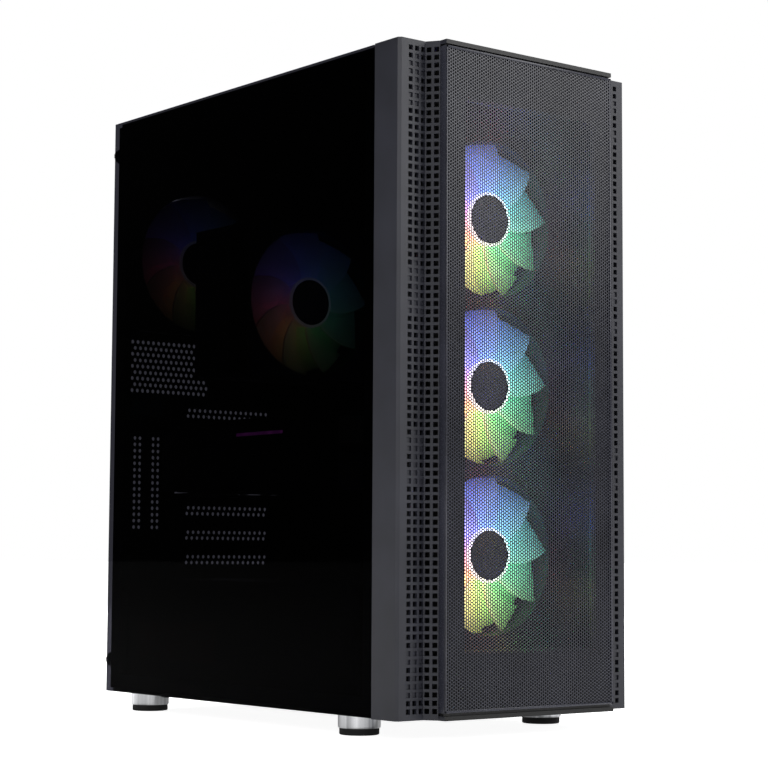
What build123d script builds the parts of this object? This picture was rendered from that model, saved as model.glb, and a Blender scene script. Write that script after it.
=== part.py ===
from build123d import *
import math
import os

os.makedirs("parts", exist_ok=True)

# The frame: +Z up, the front faces -Y, the glass is on -X, and the origin is on the floor under the
# middle of the box that the whole tower fills. Lengths are millimetres.

# Overall sizes
bodyWidth = 216.0
bodyHeight = 463.0
bodyDepth = 387.0
footHeight = 14.0
screwReach = 8.0

# Sheets, walls and gaps
steel = 1.0
plastic = 2.5
glassThick = 4.0
frameThick = 1.2
gap = 0.5
slip = 0.3
fitGap = 0.05
topThick = 3.5
panelInset = 3.0

# Front bezel and mesh
meshStep = 15.5
meshWidth = 158.0
meshReturn = 6.8
meshTopGap = 4.0
meshBottomGap = 5.0
meshSetback = 2.5
stripWidth = 23.0
bezelDepth = 27.0
bezelPlate = 3.0
cornerBreak = 2.0
frontOpeningWidth = 120.0
frontOpeningBottom = 46.0
frontOpeningTop = 40.0
ventSize = 3.5
ventPitch = 5.5
ventEdge = 6.0
ventInset = 2.0
ventBorder = 10.0
ventRim = 0.15
slantMargin = 2.3
blindDepth = 1.2
blindStarts = (1, 27, 48, 74)

# Fans
fanSize = 120.0
fanDepth = 25.0
fanBore = 57.0
fanFlange = 4.0
fanCorner = 6.0
fanScrewPitch = 105.0
fanScrewRadius = 2.15
rotorRadius = 55.5
hubRadius = 18.0
strutWidth = 3.5
strutThick = 3.0
fanBlades = 9
bladeThick = 1.3
bladeShare = 1.02
bladeReach = 0.74
bladePitches = (40.0, 31.0, 23.0)
bladeLeans = (0.0, 0.16, 0.42)
fanPitch = 120.75
frontFanLow = 110.5
rearFanX = -40.5
rearFanHeight = 350.0

# Rear wall
ioHeight = 158.75
ioWidth = 44.45
ioDrop = 6.0
slotPitch = 20.32
slotCount = 7
slotHeight = 13.0
slotFirst = 105.7
slotNear = 60.0
slotFar = -47.0
cardSlots = (3, 4, 5)
uprightSlots = (-84.0, -66.5)
uprightLow = 126.0
uprightHigh = 214.0
coverThick = 1.0
coverHole = 1.5
coverHolePitch = 5.2
coverHoleRow = 2.4
rearVentRadius = 1.6
rearVentPitch = 5.0
rearVentColumns = 16

# Motherboard and what stands on it
boardHeight = 305.0
boardLength = 244.0
boardThick = 1.6
boardTop = 400.6
boardFaceX = 76.0
standoffHeight = 6.4
cpuSetback = 110.5
cpuDrop = 94.5
socketThick = 6.0
socketHalf = 25.0
boardHoleInset = 6.35
slotReach = 11.0
slotSetback = 48.0
longSlot = 90.0
shortSlot = 26.0
memoryPitch = 9.6
memorySetback = 62.0
memoryReach = 48.0
memorySocket = 8.0
heatsinkReach = 26.0
cardPlaneShift = 5.2
grommetWidth = 24.0
grommetHeight = 56.0
grommetLip = 3.0
trayWindow = 45.0

# Cooler
coolerBase = 44.0
coolerBlock = 10.0
pipeRadius = 3.0
pipeSpread = 36.0
finThick = 0.6
finPitch = 2.6
finCount = 40
finDepth = 50.0
finHeight = 116.0
coolerTopX = -86.0

# Graphics card
cardLength = 240.0
cardEdgeX = -61.0
cardThick = 58.0
cardFan = 44.0
cardFanPitch = 104.0
cardWall = 2.0
cardRotorDepth = 12.0
cardHub = 15.0
cardBlades = 11
cardFinPitch = 5.0
cardFin = 0.8
cardBoard = 1.6
backplateThick = 1.6
cardSocketXs = (-28.0, -4.0, 20.0)

# Power supply and its chamber
psuWidth = 150.0
psuHeight = 86.0
psuLength = 140.0
psuLeft = -90.0
psuFan = 62.0
psuHub = 19.0
psuRotorDepth = 18.0
psuBlades = 7
psuVentRadius = 2.4
psuVentPitch = 7.0
guardWire = 0.7
shroudTop = 90.0
inletWidth = 27.0
inletHeight = 20.0
inletMargin = 2.0
inletFromEdge = 26.0
inletRise = 30.0
rockerRise = 62.0
rockerHalf = 4.0
rockerAxle = 1.0
axleGap = 0.1
holderHalfWidth = 6.0
holderHalfHeight = 10.0
holderWall = 1.5
filterHalf = 53.0
railDrop = 3.5

# Drives
driveLength = 147.0
driveWidth = 101.6
driveHeight = 26.1
driveLift = 4.0
bayHeight = 42.0
slimDriveThick = 7.0
slimDriveWidth = 70.0
slimDriveLength = 100.0
cageLeftX = -80.0
cageRightX = 50.0

# Feet
footRadius = 15.0
padRadius = 14.0
padDepth = 4.5
footX = 86.0
footFront = 83.5
footRear = 31.5
ringBevel = 1.2
padBevel = 1.0
plugLength = 5.5

# Thumbscrews
screwInset = 10.0
screwEnd = 25.0
screwHead = 6.0
screwShank = 2.0
screwHole = 2.2
screwClear = 2.5
shankLength = 5.0
knurls = 18
knurlRadius = 0.5

# Controls on the top
controlWidth = 104.0
controlDepth = 16.0
controlDrop = 20.0
controlSetback = 8.0
powerX = -40.0
lightX = -24.0
usbXs = (-6.0, 14.0)
audioXs = (30.0, 40.0)
audioRadius = 1.8
keyLength = 8.0
powerRadius = 6.0
lightRadius = 3.2
buttonTravel = 1.2
usbWidth = 13.0
usbHeight = 5.6
usbDepth = 12.0

# Places worked out from the sizes above
halfWidth = bodyWidth / 2
floorZ = footHeight
topZ = floorZ + bodyHeight
frontY = -(bodyDepth + screwReach) / 2
rearY = frontY + bodyDepth
stripY = frontY + meshStep
bezelBackY = stripY + bezelDepth
caseFrontY = bezelBackY + gap
wallRearY = rearY - steel - slip
wallInnerY = wallRearY - steel
panelFrontY = caseFrontY + gap
glassInnerX = -halfWidth + glassThick
caseLeftX = glassInnerX + frameThick + gap
caseRightX = halfWidth - steel - gap
baseTopZ = floorZ + steel
topUnderZ = topZ - topThick
fanFrontY = caseFrontY + steel
fanBackY = fanFrontY + fanDepth
boardBackX = boardFaceX + boardThick
trayX = boardBackX + standoffHeight
boardTopZ = floorZ + boardTop
boardRearY = wallInnerY - 2.0
boardFrontY = boardRearY - boardLength
cpuY = boardRearY - cpuSetback
cpuZ = boardTopZ - cpuDrop
ioTopZ = boardTopZ - ioDrop
ioLowZ = ioTopZ - ioHeight
shroudZ = floorZ + shroudTop
shroudFrontY = fanBackY + 1.5
shroudLeftX = caseLeftX + steel
psuRearY = wallInnerY
psuFrontY = psuRearY - psuLength
psuLowZ = baseTopZ
psuTopZ = psuLowZ + psuHeight
psuX = psuLeft + psuWidth / 2
psuY = psuRearY - psuLength / 2
rotorDepth = fanDepth - strutThick - gap

axisTurn = {"X": Rot(0, 90, 0), "Y": Rot(-90, 0, 0), "Z": Rot(0, 0, 0)}


def block(low, high):
    size = [b - a for a, b in zip(low, high)]
    centre = [(a + b) / 2 for a, b in zip(low, high)]
    return Pos(*centre) * Box(*size)


def rod(centre, radius, length, axis):
    return Pos(*centre) * axisTurn[axis] * Cylinder(radius, length)


def slotAt(rank):
    return floorZ + slotFirst + slotPitch * rank


def rectangleWire(low, high):
    # An upright rectangle in the plane that low and high share, which faces X or Y, or a level one
    # when they share Z.
    (x0, y0, z0), (x1, y1, z1) = low, high
    if x0 == x1:
        corners = [(x0, y0, z0), (x0, y1, z0), (x0, y1, z1), (x0, y0, z1)]
    elif y0 == y1:
        corners = [(x0, y0, z0), (x1, y0, z0), (x1, y0, z1), (x0, y0, z1)]
    else:
        corners = [(x0, y0, z0), (x1, y0, z0), (x1, y1, z0), (x0, y1, z0)]
    return Wire.make_polygon(corners, close=True)


def circleWire(centre, radius, normal):
    return Wire.make_circle(radius, Plane(origin=centre, z_dir=normal))


def sheet(low, high, holes, push):
    # A flat sheet with holes: the rectangle from low to high, pushed along a vector for its thickness.
    return Solid.extrude(Face(rectangleWire(low, high), holes), push)


def prism(points, low, high):
    # An upright prism on a plan outline.
    outline = Wire.make_polygon([(x, y, low) for x, y in points], close=True)
    return Solid.extrude(Face(outline), (0, 0, high - low))


def joined(pieces):
    return pieces[0].fuse(*pieces[1:]) if len(pieces) > 1 else pieces[0]


def group(pieces):
    return Compound(children=list(pieces))


def turned(shape, side):
    # side is 1 for the piece as drawn on +X, and -1 for its mirror image on -X.
    return shape if side == 1 else shape.mirror(Plane.YZ)


# ---------------------------------------------------------------- front cover


def ventRows():
    count = int((bodyHeight - 2 * ventEdge) / ventPitch) + 1
    first = floorZ + (bodyHeight - ventPitch * (count - 1)) / 2
    return [first + ventPitch * i for i in range(count)]


def ventColumns():
    # Column centres on the +X strip, from its inner edge outwards.
    edge = halfWidth - stripWidth
    room = stripWidth - ventInset - ventBorder
    count = int(room / ventPitch + 0.001) + 1
    return [edge + ventInset + ventPitch * i for i in range(count)]


def isBlind(row, column, count):
    # Counted from the top, four groups of vents are only dimples, because bosses stand behind them.
    fromTop = count - 1 - row
    for start in blindStarts:
        step = fromTop - start
        if step in (1, 2, 5, 6):
            return True
        if step in (0, 3, 4) and column == 1:
            return True
    return False


def ventWires(y, blindToo):
    rows = ventRows()
    half = ventSize / 2
    wires = []
    for column, x in enumerate(ventColumns()):
        for row, z in enumerate(rows):
            if blindToo or not isBlind(row, column, len(rows)):
                wires.append(rectangleWire((x - half, y, z - half), (x + half, y, z + half)))
    return wires


def bezelLow():
    return floorZ + bezelPlate


def bezelHigh():
    return topZ - bezelPlate


def stripField():
    # The stretch of the strip that its vents fill, with a thin rim each side.
    columns = ventColumns()
    reach = ventSize / 2 + ventRim
    return columns[0] - reach, columns[-1] + reach


def bezelStrip():
    x0, x1 = stripField()
    low, high = bezelLow(), bezelHigh()
    skinY = stripY
    coreY = stripY + blindDepth
    skin = sheet((x0, skinY, low), (x1, skinY, high), ventWires(skinY, True), (0, blindDepth, 0))
    depth = plastic - blindDepth
    core = sheet((x0, coreY, low), (x1, coreY, high), ventWires(coreY, False), (0, depth, 0))
    return joined([skin, core])


def slantLine():
    start = Vector(halfWidth - stripWidth, stripY, 0)
    end = Vector(meshWidth / 2, frontY + meshReturn, 0)
    along = (end - start).normalized()
    inward = Vector(along.Y, -along.X, 0)
    return start, along, inward, (end - start).length


def slantPoint(distance, depth):
    # A plan point on the slanted wall: so far from the strip's edge, and so deep behind its face.
    start, along, inward, length = slantLine()
    point = start + along * distance + inward * depth
    return (point.X, point.Y)


def slantVents():
    length = slantLine()[3]
    count = int((length - 2 * slantMargin) / ventPitch) + 1
    first = (length - ventPitch * (count - 1)) / 2
    return [first + ventPitch * i for i in range(count)]


def slantField():
    vents = slantVents()
    reach = ventSize / 2 + ventRim
    return vents[0] - reach, vents[-1] + reach


def bezelSlant():
    # The wall that runs from the strip's inner edge forward to the mesh, with its own vents.
    half = ventSize / 2

    def rectangle(a, b, low, high):
        corners = [(a, low), (b, low), (b, high), (a, high)]
        return Wire.make_polygon([(*slantPoint(s, 0), z) for s, z in corners], close=True)

    holes = []
    for middle in slantVents():
        for z in ventRows():
            holes.append(rectangle(middle - half, middle + half, z - half, z + half))
    a, b = slantField()
    face = Face(rectangle(a, b, bezelLow(), bezelHigh()), holes)
    push = slantLine()[2] * plastic
    return Solid.extrude(face, (push.X, push.Y, 0))


def meetX(x):
    # Where the slanted wall's inner face crosses a given X.
    here, there = slantPoint(0, plastic), slantPoint(1, plastic)
    return here[1] + (x - here[0]) * (there[1] - here[1]) / (there[0] - here[0])


def meetY(y):
    # Where the slanted wall's inner face crosses a given Y.
    here, there = slantPoint(0, plastic), slantPoint(1, plastic)
    return here[0] + (y - here[1]) * (there[0] - here[0]) / (there[1] - here[1])


def bezelCorners():
    # Plan outlines of the solid walls on +X: the outer corner, the bend into the slanted wall, and the
    # fold that carries the mesh.
    stripIn, stripOut = stripField()
    slantIn, slantOut = slantField()
    stripBack = stripY + plastic
    edge = halfWidth - stripWidth
    foldOut = meshWidth / 2 - steel - fitGap
    foldIn = foldOut - plastic
    foldY = frontY + meshReturn
    outer = [
        (halfWidth, bezelBackY),
        (halfWidth, stripY + cornerBreak),
        (halfWidth - cornerBreak, stripY),
        (stripOut, stripY),
        (stripOut, stripBack),
        (halfWidth - plastic, stripBack),
        (halfWidth - plastic, bezelBackY),
    ]
    bend = [
        (stripIn, stripY),
        (edge, stripY),
        slantPoint(slantIn, 0),
        slantPoint(slantIn, plastic),
        (meetY(stripBack), stripBack),
        (stripIn, stripBack),
    ]
    fold = [
        slantPoint(slantOut, 0),
        (meshWidth / 2, foldY),
        (foldOut, foldY),
        (foldOut, frontY + meshSetback),
        (foldIn, frontY + meshSetback),
        (foldIn, meetX(foldIn)),
        slantPoint(slantOut, plastic),
    ]
    return outer, bend, fold


def bezelLipOutline():
    half = meshWidth / 2
    right = [
        (halfWidth, bezelBackY),
        (halfWidth, stripY + cornerBreak),
        (halfWidth - cornerBreak, stripY),
        (halfWidth - stripWidth, stripY),
        (half, frontY + meshReturn),
        (half, frontY),
    ]
    return right + [(-x, y) for x, y in reversed(right)]


def frontBezel():
    backingY = frontY + meshSetback
    backingHalf = meshWidth / 2 - steel - fitGap - plastic
    pieces = []
    for side in (1, -1):
        pieces.append(turned(bezelStrip(), side))
        pieces.append(turned(bezelSlant(), side))
        for outline in bezelCorners():
            pieces.append(turned(prism(outline, bezelLow(), bezelHigh()), side))
    openLow = floorZ + frontOpeningBottom
    openHigh = topZ - frontOpeningTop
    halfOpen = frontOpeningWidth / 2
    hole = rectangleWire((-halfOpen, backingY, openLow), (halfOpen, backingY, openHigh))
    low = (-backingHalf, backingY, bezelLow())
    pieces.append(sheet(low, (backingHalf, backingY, bezelHigh()), [hole], (0, plastic, 0)))
    outline = bezelLipOutline()
    pieces.append(prism(outline, floorZ, bezelLow()))
    pieces.append(prism(outline, bezelHigh(), topZ))
    return joined(pieces)


def frontMesh():
    half = meshWidth / 2
    low = floorZ + meshBottomGap
    high = topZ - meshTopGap
    outer = block((-half, frontY, low), (half, frontY + meshReturn, high))
    inner = block(
        (-half + steel, frontY + steel, low - 1),
        (half - steel, frontY + meshReturn + 1, high + 1),
    )
    return outer - inner


# ---------------------------------------------------------------- steel case


def chassisFront():
    holes = []
    for rank in range(3):
        z = floorZ + frontFanLow + fanPitch * rank
        holes.append(circleWire((0, caseFrontY, z), fanBore, (0, 1, 0)))
        for dx in (-1, 1):
            for dz in (-1, 1):
                spot = (dx * fanScrewPitch / 2, caseFrontY, z + dz * fanScrewPitch / 2)
                holes.append(circleWire(spot, fanScrewRadius, (0, 1, 0)))
    low = (caseLeftX, caseFrontY, baseTopZ)
    high = (caseRightX, caseFrontY, topUnderZ)
    return sheet(low, high, holes, (0, steel, 0))


def screwHeights():
    return (floorZ + screwEnd, topZ - screwEnd)


def chassisRear():
    normal = (0, 1, 0)
    y = wallInnerY
    fanZ = floorZ + rearFanHeight
    holes = [circleWire((rearFanX, y, fanZ), fanBore, normal)]
    for dx in (-1, 1):
        for dz in (-1, 1):
            spot = (rearFanX + dx * fanScrewPitch / 2, y, fanZ + dz * fanScrewPitch / 2)
            holes.append(circleWire(spot, fanScrewRadius, normal))
    ioNear = boardFaceX + 1.0
    holes.append(rectangleWire((ioNear - ioWidth, y, ioLowZ), (ioNear, y, ioTopZ)))
    for rank in range(slotCount):
        z = slotAt(rank)
        holes.append(rectangleWire((slotFar, y, z - slotHeight / 2), (slotNear, y, z + slotHeight / 2)))
    for x in uprightSlots:
        low = (x - slotHeight / 2, y, floorZ + uprightLow)
        holes.append(rectangleWire(low, (x + slotHeight / 2, y, floorZ + uprightHigh)))
    lip = 3.0
    psuHoleLow = (psuLeft + lip, y, psuLowZ + lip)
    holes.append(rectangleWire(psuHoleLow, (psuLeft + psuWidth - lip, y, psuTopZ - lip)))
    holes += rearVents(y)
    wall = sheet((caseLeftX, y, baseTopZ), (caseRightX, y, topUnderZ), holes, (0, steel, 0))
    for z in screwHeights():
        mouth = block(
            (caseLeftX - 1, y - 1, z - screwClear),
            (screwX(-1) + screwClear, wallRearY + 1, z + screwClear),
        )
        wall = wall - mouth
        wall = wall - rod((screwX(1), y, z), screwClear, 10, "Y")
    return wall


def rearVents(y):
    # A field of round vents between the rear fan and the upright slots.
    low = floorZ + uprightHigh + 30.0
    high = floorZ + rearFanHeight - fanSize / 2 - 4.0
    rows = int((high - low) / rearVentPitch) + 1
    wires = []
    for row in range(rows):
        shift = rearVentPitch / 2 if row % 2 else 0
        z = low + rearVentPitch * row
        for column in range(rearVentColumns):
            x = caseLeftX + 8.0 + shift + rearVentPitch * column
            wires.append(circleWire((x, y, z), rearVentRadius, (0, 1, 0)))
    return wires


def screwX(side):
    return side * (halfWidth - screwInset)


def chassisBase():
    reach = filterHalf - 5.0
    ventLow = (psuX - reach, psuY - reach)
    ventHigh = (psuX + reach, psuY + reach)
    holes = []
    bars = 9
    step = (ventHigh[1] - ventLow[1]) / bars
    for rank in range(bars):
        y = ventLow[1] + step * rank
        holes.append(rectangleWire((ventLow[0], y, floorZ), (ventHigh[0], y + step - 2.0, floorZ)))
    low = (caseLeftX, caseFrontY, floorZ)
    plate = sheet(low, (caseRightX, wallRearY, floorZ), holes, (0, 0, steel))
    pieces = [plate]
    for side in (-1, 1):
        x = filterX(side)
        outer = x + side * (slip + steel)
        near = x + side * slip
        inward = x - side * 3.0
        rail = block(
            (min(near, outer), filterFrontY(), floorZ - railDrop), (max(near, outer), wallRearY, floorZ)
        )
        ledge = block(
            (min(inward, outer), filterFrontY(), floorZ - railDrop - steel),
            (max(inward, outer), wallRearY, floorZ - railDrop),
        )
        pieces += [rail, ledge]
    return joined(pieces)


def filterX(side):
    return psuX + side * filterHalf


def filterFrontY():
    return psuY - 60.0


def psuDustFilter():
    rim = 4.0
    high = floorZ - slip
    low = floorZ - railDrop + slip
    endY = wallRearY - 2.0
    outer = block((filterX(-1), filterFrontY(), low), (filterX(1), endY, high))
    inner = block(
        (filterX(-1) + rim, filterFrontY() + rim, low + steel),
        (filterX(1) - rim, endY - rim, high + 1),
    )
    tab = block((psuX - 12, endY, low), (psuX + 12, endY + 6, low + 2.0))
    return joined([outer - inner, tab])


def topPocket():
    return (caseLeftX + 14, controlBackY() + 12, caseRightX - 14, wallInnerY - 16)


def controlBackY():
    return caseFrontY + controlSetback + controlDepth


def chassisTop():
    x0, y0, x1, y1 = topPocket()
    plate = block((caseLeftX, caseFrontY, topUnderZ), (caseRightX, wallRearY, topZ))
    plate = plate - block((x0, y0, topUnderZ + steel), (x1, y1, topZ + 1))
    controls = block(
        (-controlWidth / 2 - fitGap, caseFrontY + controlSetback - fitGap, topUnderZ - 1),
        (controlWidth / 2 + fitGap, controlBackY() + fitGap, topZ + 1),
    )
    plate = plate - controls
    margin = 10.0
    columns, rows = 6, 18
    stepX = (x1 - x0 - 2 * margin) / columns
    stepY = (y1 - y0 - 2 * margin) / rows
    slots = []
    for i in range(columns):
        for j in range(rows):
            sx = x0 + margin + stepX * i
            sy = y0 + margin + stepY * j
            high = (sx + stepX - 1.5, sy + stepY - 3, topZ)
            slots.append(block((sx + 1.5, sy + 2, topUnderZ - 1), high))
    return plate.cut(*slots)


def topDustFilter():
    x0, y0, x1, y1 = topPocket()
    outer = block((x0 + slip, y0 + slip, topUnderZ + steel), (x1 - slip, y1 - slip, topZ - slip))
    rim = 6.0
    inner = block((x0 + rim, y0 + rim, topUnderZ + 2 * steel), (x1 - rim, y1 - rim, topZ + 1))
    return outer - inner


def cableHoles():
    y = boardFrontY - 22.0
    return [(y, boardTopZ - 45.0), (y, boardTopZ - 125.0), (y, boardTopZ - 205.0)]


def motherboardTray():
    holes = []
    for y, z in cableHoles():
        low = (trayX, y - grommetWidth / 2, z - grommetHeight / 2)
        holes.append(rectangleWire(low, (trayX, y + grommetWidth / 2, z + grommetHeight / 2)))
    low = (trayX, cpuY - trayWindow, cpuZ - trayWindow)
    holes.append(rectangleWire(low, (trayX, cpuY + trayWindow, cpuZ + trayWindow)))
    plateLow = (trayX, shroudFrontY + 6, shroudZ)
    return sheet(plateLow, (trayX, wallInnerY, topUnderZ), holes, (steel, 0, 0))


def grommets():
    pieces = []
    lip = grommetLip
    for y, z in cableHoles():
        w, h = grommetWidth / 2, grommetHeight / 2
        pad = block((trayX - 1.5, y - w - lip, z - h - lip), (trayX, y + w + lip, z + h + lip))
        neck = block(
            (trayX, y - w + fitGap, z - h + fitGap),
            (trayX + steel, y + w - fitGap, z + h - fitGap),
        )
        hole = block((trayX - 5, y - w + lip, z - h + lip), (trayX + 5, y + w - lip, z + h - lip))
        pieces.append(joined([pad, neck]) - hole)
    return group(pieces)


def psuShroud():
    top = block((shroudLeftX, shroudFrontY, shroudZ - steel), (trayX + steel, wallInnerY, shroudZ))
    x = shroudLeftX
    hole = rectangleWire((x, psuFrontY - 5, baseTopZ + 14), (x, wallInnerY - 8, shroudZ - 9))
    side = sheet((x, shroudFrontY, baseTopZ), (x, wallInnerY, shroudZ), [hole], (steel, 0, 0))
    shroud = joined([top, side])
    slits = []
    for rank in range(9):
        y = shroudFrontY + 24 + 9.0 * rank
        slits.append(block((-40, y, shroudZ - 5), (20, y + 4, shroudZ + 5)))
    return shroud.cut(*slits)


# ---------------------------------------------------------------- covers


def glassPane():
    return block((-halfWidth, panelFrontY, floorZ + gap), (glassInnerX, rearY, topZ - gap))


def glassFrame():
    inset = panelInset
    band = 11.0
    x0, x1 = glassInnerX, glassInnerX + frameThick
    low = (x0, panelFrontY + inset, floorZ + inset)
    high = (x0, rearY, topZ - inset)
    hole = rectangleWire(
        (x0, panelFrontY + inset + band, floorZ + inset + band),
        (x0, wallInnerY - band, topZ - inset - band),
    )
    plate = sheet(low, high, [hole], (frameThick, 0, 0))
    flange = block((x0, wallRearY + slip, floorZ + inset), (screwX(-1) + 8, rearY, topZ - inset))
    frame = joined([plate, flange])
    for z in screwHeights():
        frame = frame - rod((screwX(-1), rearY, z), screwHole, 20, "Y")
    return frame


def rightSidePanel():
    plate = block((halfWidth - steel, panelFrontY, floorZ + gap), (halfWidth, rearY, topZ - gap))
    flange = block(
        (screwX(1) - 8, rearY - steel, floorZ + panelInset), (halfWidth, rearY, topZ - panelInset)
    )
    panel = joined([plate, flange])
    for z in screwHeights():
        panel = panel - rod((screwX(1), rearY, z), screwHole, 20, "Y")
    return panel


def thumbscrews(side):
    pieces = []
    for z in screwHeights():
        x = screwX(side)
        head = rod((x, rearY + screwReach / 2, z), screwHead, screwReach, "Y")
        notches = []
        for rank in range(knurls):
            angle = 2 * math.pi * rank / knurls
            reach = screwHead + 0.2
            spot = (x + reach * math.cos(angle), rearY + screwReach / 2 + 1.5, z + reach * math.sin(angle))
            notches.append(rod(spot, knurlRadius, screwReach, "Y"))
        head = head.cut(*notches)
        endY = rearY + screwReach
        slot = block((x - 4, endY - 1.5, z - 0.6), (x + 4, endY + 1, z + 0.6))
        shank = rod((x, rearY - shankLength / 2, z), screwShank, shankLength, "Y")
        pieces.append(joined([head - slot, shank]))
    return group(pieces)


def footPlaces():
    places = []
    for x in (-footX, footX):
        for y in (stripY + footFront - meshStep, rearY - footRear):
            places.append((x, y))
    return places


def footRings():
    pieces = []
    for x, y in footPlaces():
        ring = rod((x, y, (footHeight + padDepth) / 2), footRadius, footHeight - padDepth, "Z")
        ring = fillet(ring.edges().group_by(Axis.Z)[0], ringBevel)
        depth = plugLength + gap
        bore = rod((x, y, padDepth + depth / 2), padRadius - 2.0, depth, "Z")
        pieces.append(ring - bore)
    return group(pieces)


def footPads():
    pieces = []
    for x, y in footPlaces():
        pad = rod((x, y, padDepth / 2), padRadius, padDepth, "Z")
        pad = fillet(pad.edges().group_by(Axis.Z)[0], padBevel)
        plug = rod((x, y, padDepth + plugLength / 2), padRadius - 2.0 - fitGap, plugLength, "Z")
        pieces.append(joined([pad, plug]))
    return group(pieces)


# ---------------------------------------------------------------- controls on the top


def controlY():
    return caseFrontY + controlSetback + controlDepth / 2


def controlBlock():
    lowZ = topZ - controlDrop
    y0 = caseFrontY + controlSetback
    body = block((-controlWidth / 2, y0, lowZ), (controlWidth / 2, y0 + controlDepth, topZ))
    y = controlY()
    for x, radius in ((powerX, powerRadius), (lightX, lightRadius)):
        body = body - rod((x, y, topZ), radius + slip, 2 * keyLength, "Z")
    for x in usbXs:
        low = (x - usbWidth / 2, y - usbHeight / 2, topZ - usbDepth)
        body = body - block(low, (x + usbWidth / 2, y + usbHeight / 2, topZ + 1))
    for x in audioXs:
        body = body - rod((x, y, topZ), audioRadius, 2 * usbDepth, "Z")
    return body


def button(x, radius):
    length = keyLength - buttonTravel - gap
    cap = rod((x, controlY(), topZ - length / 2), radius, length, "Z")
    return fillet(cap.edges().group_by(Axis.Z)[-1], 0.6)


# ---------------------------------------------------------------- fans

# A fan is drawn about the Y axis with its intake at y = 0, and blows towards +Y.


def bladeSection(radius, chord, pitch, sweep, middle, thick, camber):
    def place(u, v):
        y = middle + u * math.sin(pitch) + v * math.cos(pitch)
        w = u * math.cos(pitch) - v * math.sin(pitch)
        c, s = math.cos(sweep), math.sin(sweep)
        return Vector(radius * c - w * s, y, radius * s + w * c)

    half = chord / 2
    front = Edge.make_three_point_arc(place(-half, 0), place(0, camber), place(half, 0))
    end = Edge.make_line(place(half, 0), place(half, -thick))
    back = Edge.make_three_point_arc(place(half, -thick), place(0, camber - thick), place(-half, -thick))
    start = Edge.make_line(place(-half, -thick), place(-half, 0))
    return Wire([front, end, back, start])


def fanRotor(tip, hub, depth, blades):
    # Section angles and chords grow from hub to tip, and each blade leans forward as it goes out.
    step = 2 * math.pi / blades
    middle = depth * 0.48
    sections = []
    for share, degrees, lean in zip((0.0, 0.5, 1.0), bladePitches, bladeLeans):
        pitch = math.radians(degrees)
        radius = hub - 1.0 + (tip + 2.0 - hub) * share
        chord = min(bladeShare * step * radius, bladeReach * depth / math.sin(pitch))
        sections.append(bladeSection(radius, chord, pitch, lean, middle, bladeThick, chord * 0.09))
    blade = Solid.make_loft(sections)
    copies = [blade.rotate(Axis.Y, math.degrees(step) * rank) for rank in range(blades)]
    limit = rod((0, depth / 2, 0), tip, depth + 10, "Y")
    core = rod((0, depth / 2, 0), hub, depth - 2.0, "Y")
    core = fillet(core.edges().sort_by(Axis.Y)[0], 1.5)
    trimmed = [copy & limit for copy in copies]
    return joined([core] + trimmed)


def fanFrame(size, depth, bore, flange):
    corner = size / 2
    plate = Box(size, flange, size)
    plate = fillet(plate.edges().filter_by(Axis.Y), fanCorner)
    tube = rod((0, depth / 2, 0), bore + 1.6, depth, "Y")
    pieces = [Pos(0, flange / 2, 0) * plate, Pos(0, depth - flange / 2, 0) * plate, tube]
    frame = joined(pieces) - rod((0, depth / 2, 0), bore, depth + 2, "Y")
    cuts = []
    for dx in (-1, 1):
        for dz in (-1, 1):
            place = (dx * fanScrewPitch / 2, depth / 2, dz * fanScrewPitch / 2)
            cuts.append(rod(place, fanScrewRadius, depth + 2, "Y"))
    frame = frame.cut(*cuts)
    motor = rod((0, depth - strutThick / 2, 0), hubRadius, strutThick, "Y")
    struts = [motor]
    for rank in range(4):
        length = bore + 0.8
        bar = block((0, depth - strutThick, -strutWidth / 2), (length, depth, strutWidth / 2))
        struts.append(bar.rotate(Axis.Y, 45 + 90 * rank))
    return joined([frame] + struts)


# ---------------------------------------------------------------- motherboard


def motherboard():
    low = (boardFaceX, boardFrontY, boardTopZ - boardHeight)
    board = block(low, (boardBackX, boardRearY, boardTopZ))
    half = socketHalf
    socketX = boardFaceX - socketThick
    socket = block((socketX, cpuY - half, cpuZ - half), (boardFaceX, cpuY + half, cpuZ + half))
    return joined([board, socket])


def standoffs():
    pieces = []
    inset = boardHoleInset
    rows = (boardTopZ - inset, boardTopZ - boardHeight / 2, boardTopZ - boardHeight + inset)
    columns = (boardRearY - inset, boardRearY - 130.0, boardFrontY + inset)
    for z in rows:
        for y in columns:
            pieces.append(rod(((boardBackX + trayX) / 2, y, z), 3.0, standoffHeight, "X"))
    return group(pieces)


def boardSockets():
    pieces = []
    for rank in range(4):
        y = ramY(rank)
        pieces.append(block((boardFaceX - memorySocket, y - 3, cpuZ - 70), (boardFaceX, y + 3, cpuZ + 70)))
    slotRear = boardRearY - slotSetback
    for rank, length in ((5, longSlot), (2, longSlot), (1, shortSlot)):
        z = slotAt(rank) + cardPlaneShift
        low = (boardFaceX - slotReach, slotRear - length, z - 3.7)
        pieces.append(block(low, (boardFaceX, slotRear, z + 3.7)))
    pieces.append(block(powerSocketLow(), powerSocketHigh()))
    return group(pieces)


def powerSocketLow():
    return (boardFaceX - 12, boardFrontY + 3, boardTopZ - 155)


def powerSocketHigh():
    return (boardFaceX, boardFrontY + 13, boardTopZ - 101)


def ramY(rank):
    return cpuY - memorySetback - memoryPitch * rank


def ramModules():
    pieces = []
    for rank in (0, 2):
        y = ramY(rank)
        low = (boardFaceX - memoryReach, y - 3.6, cpuZ - 66)
        outer = block(low, (boardFaceX - memorySocket, y + 3.6, cpuZ + 66))
        pieces.append(chamfer(outer.edges().filter_by(Axis.Z).group_by(Axis.X)[0], 1.5))
    return group(pieces)


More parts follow.
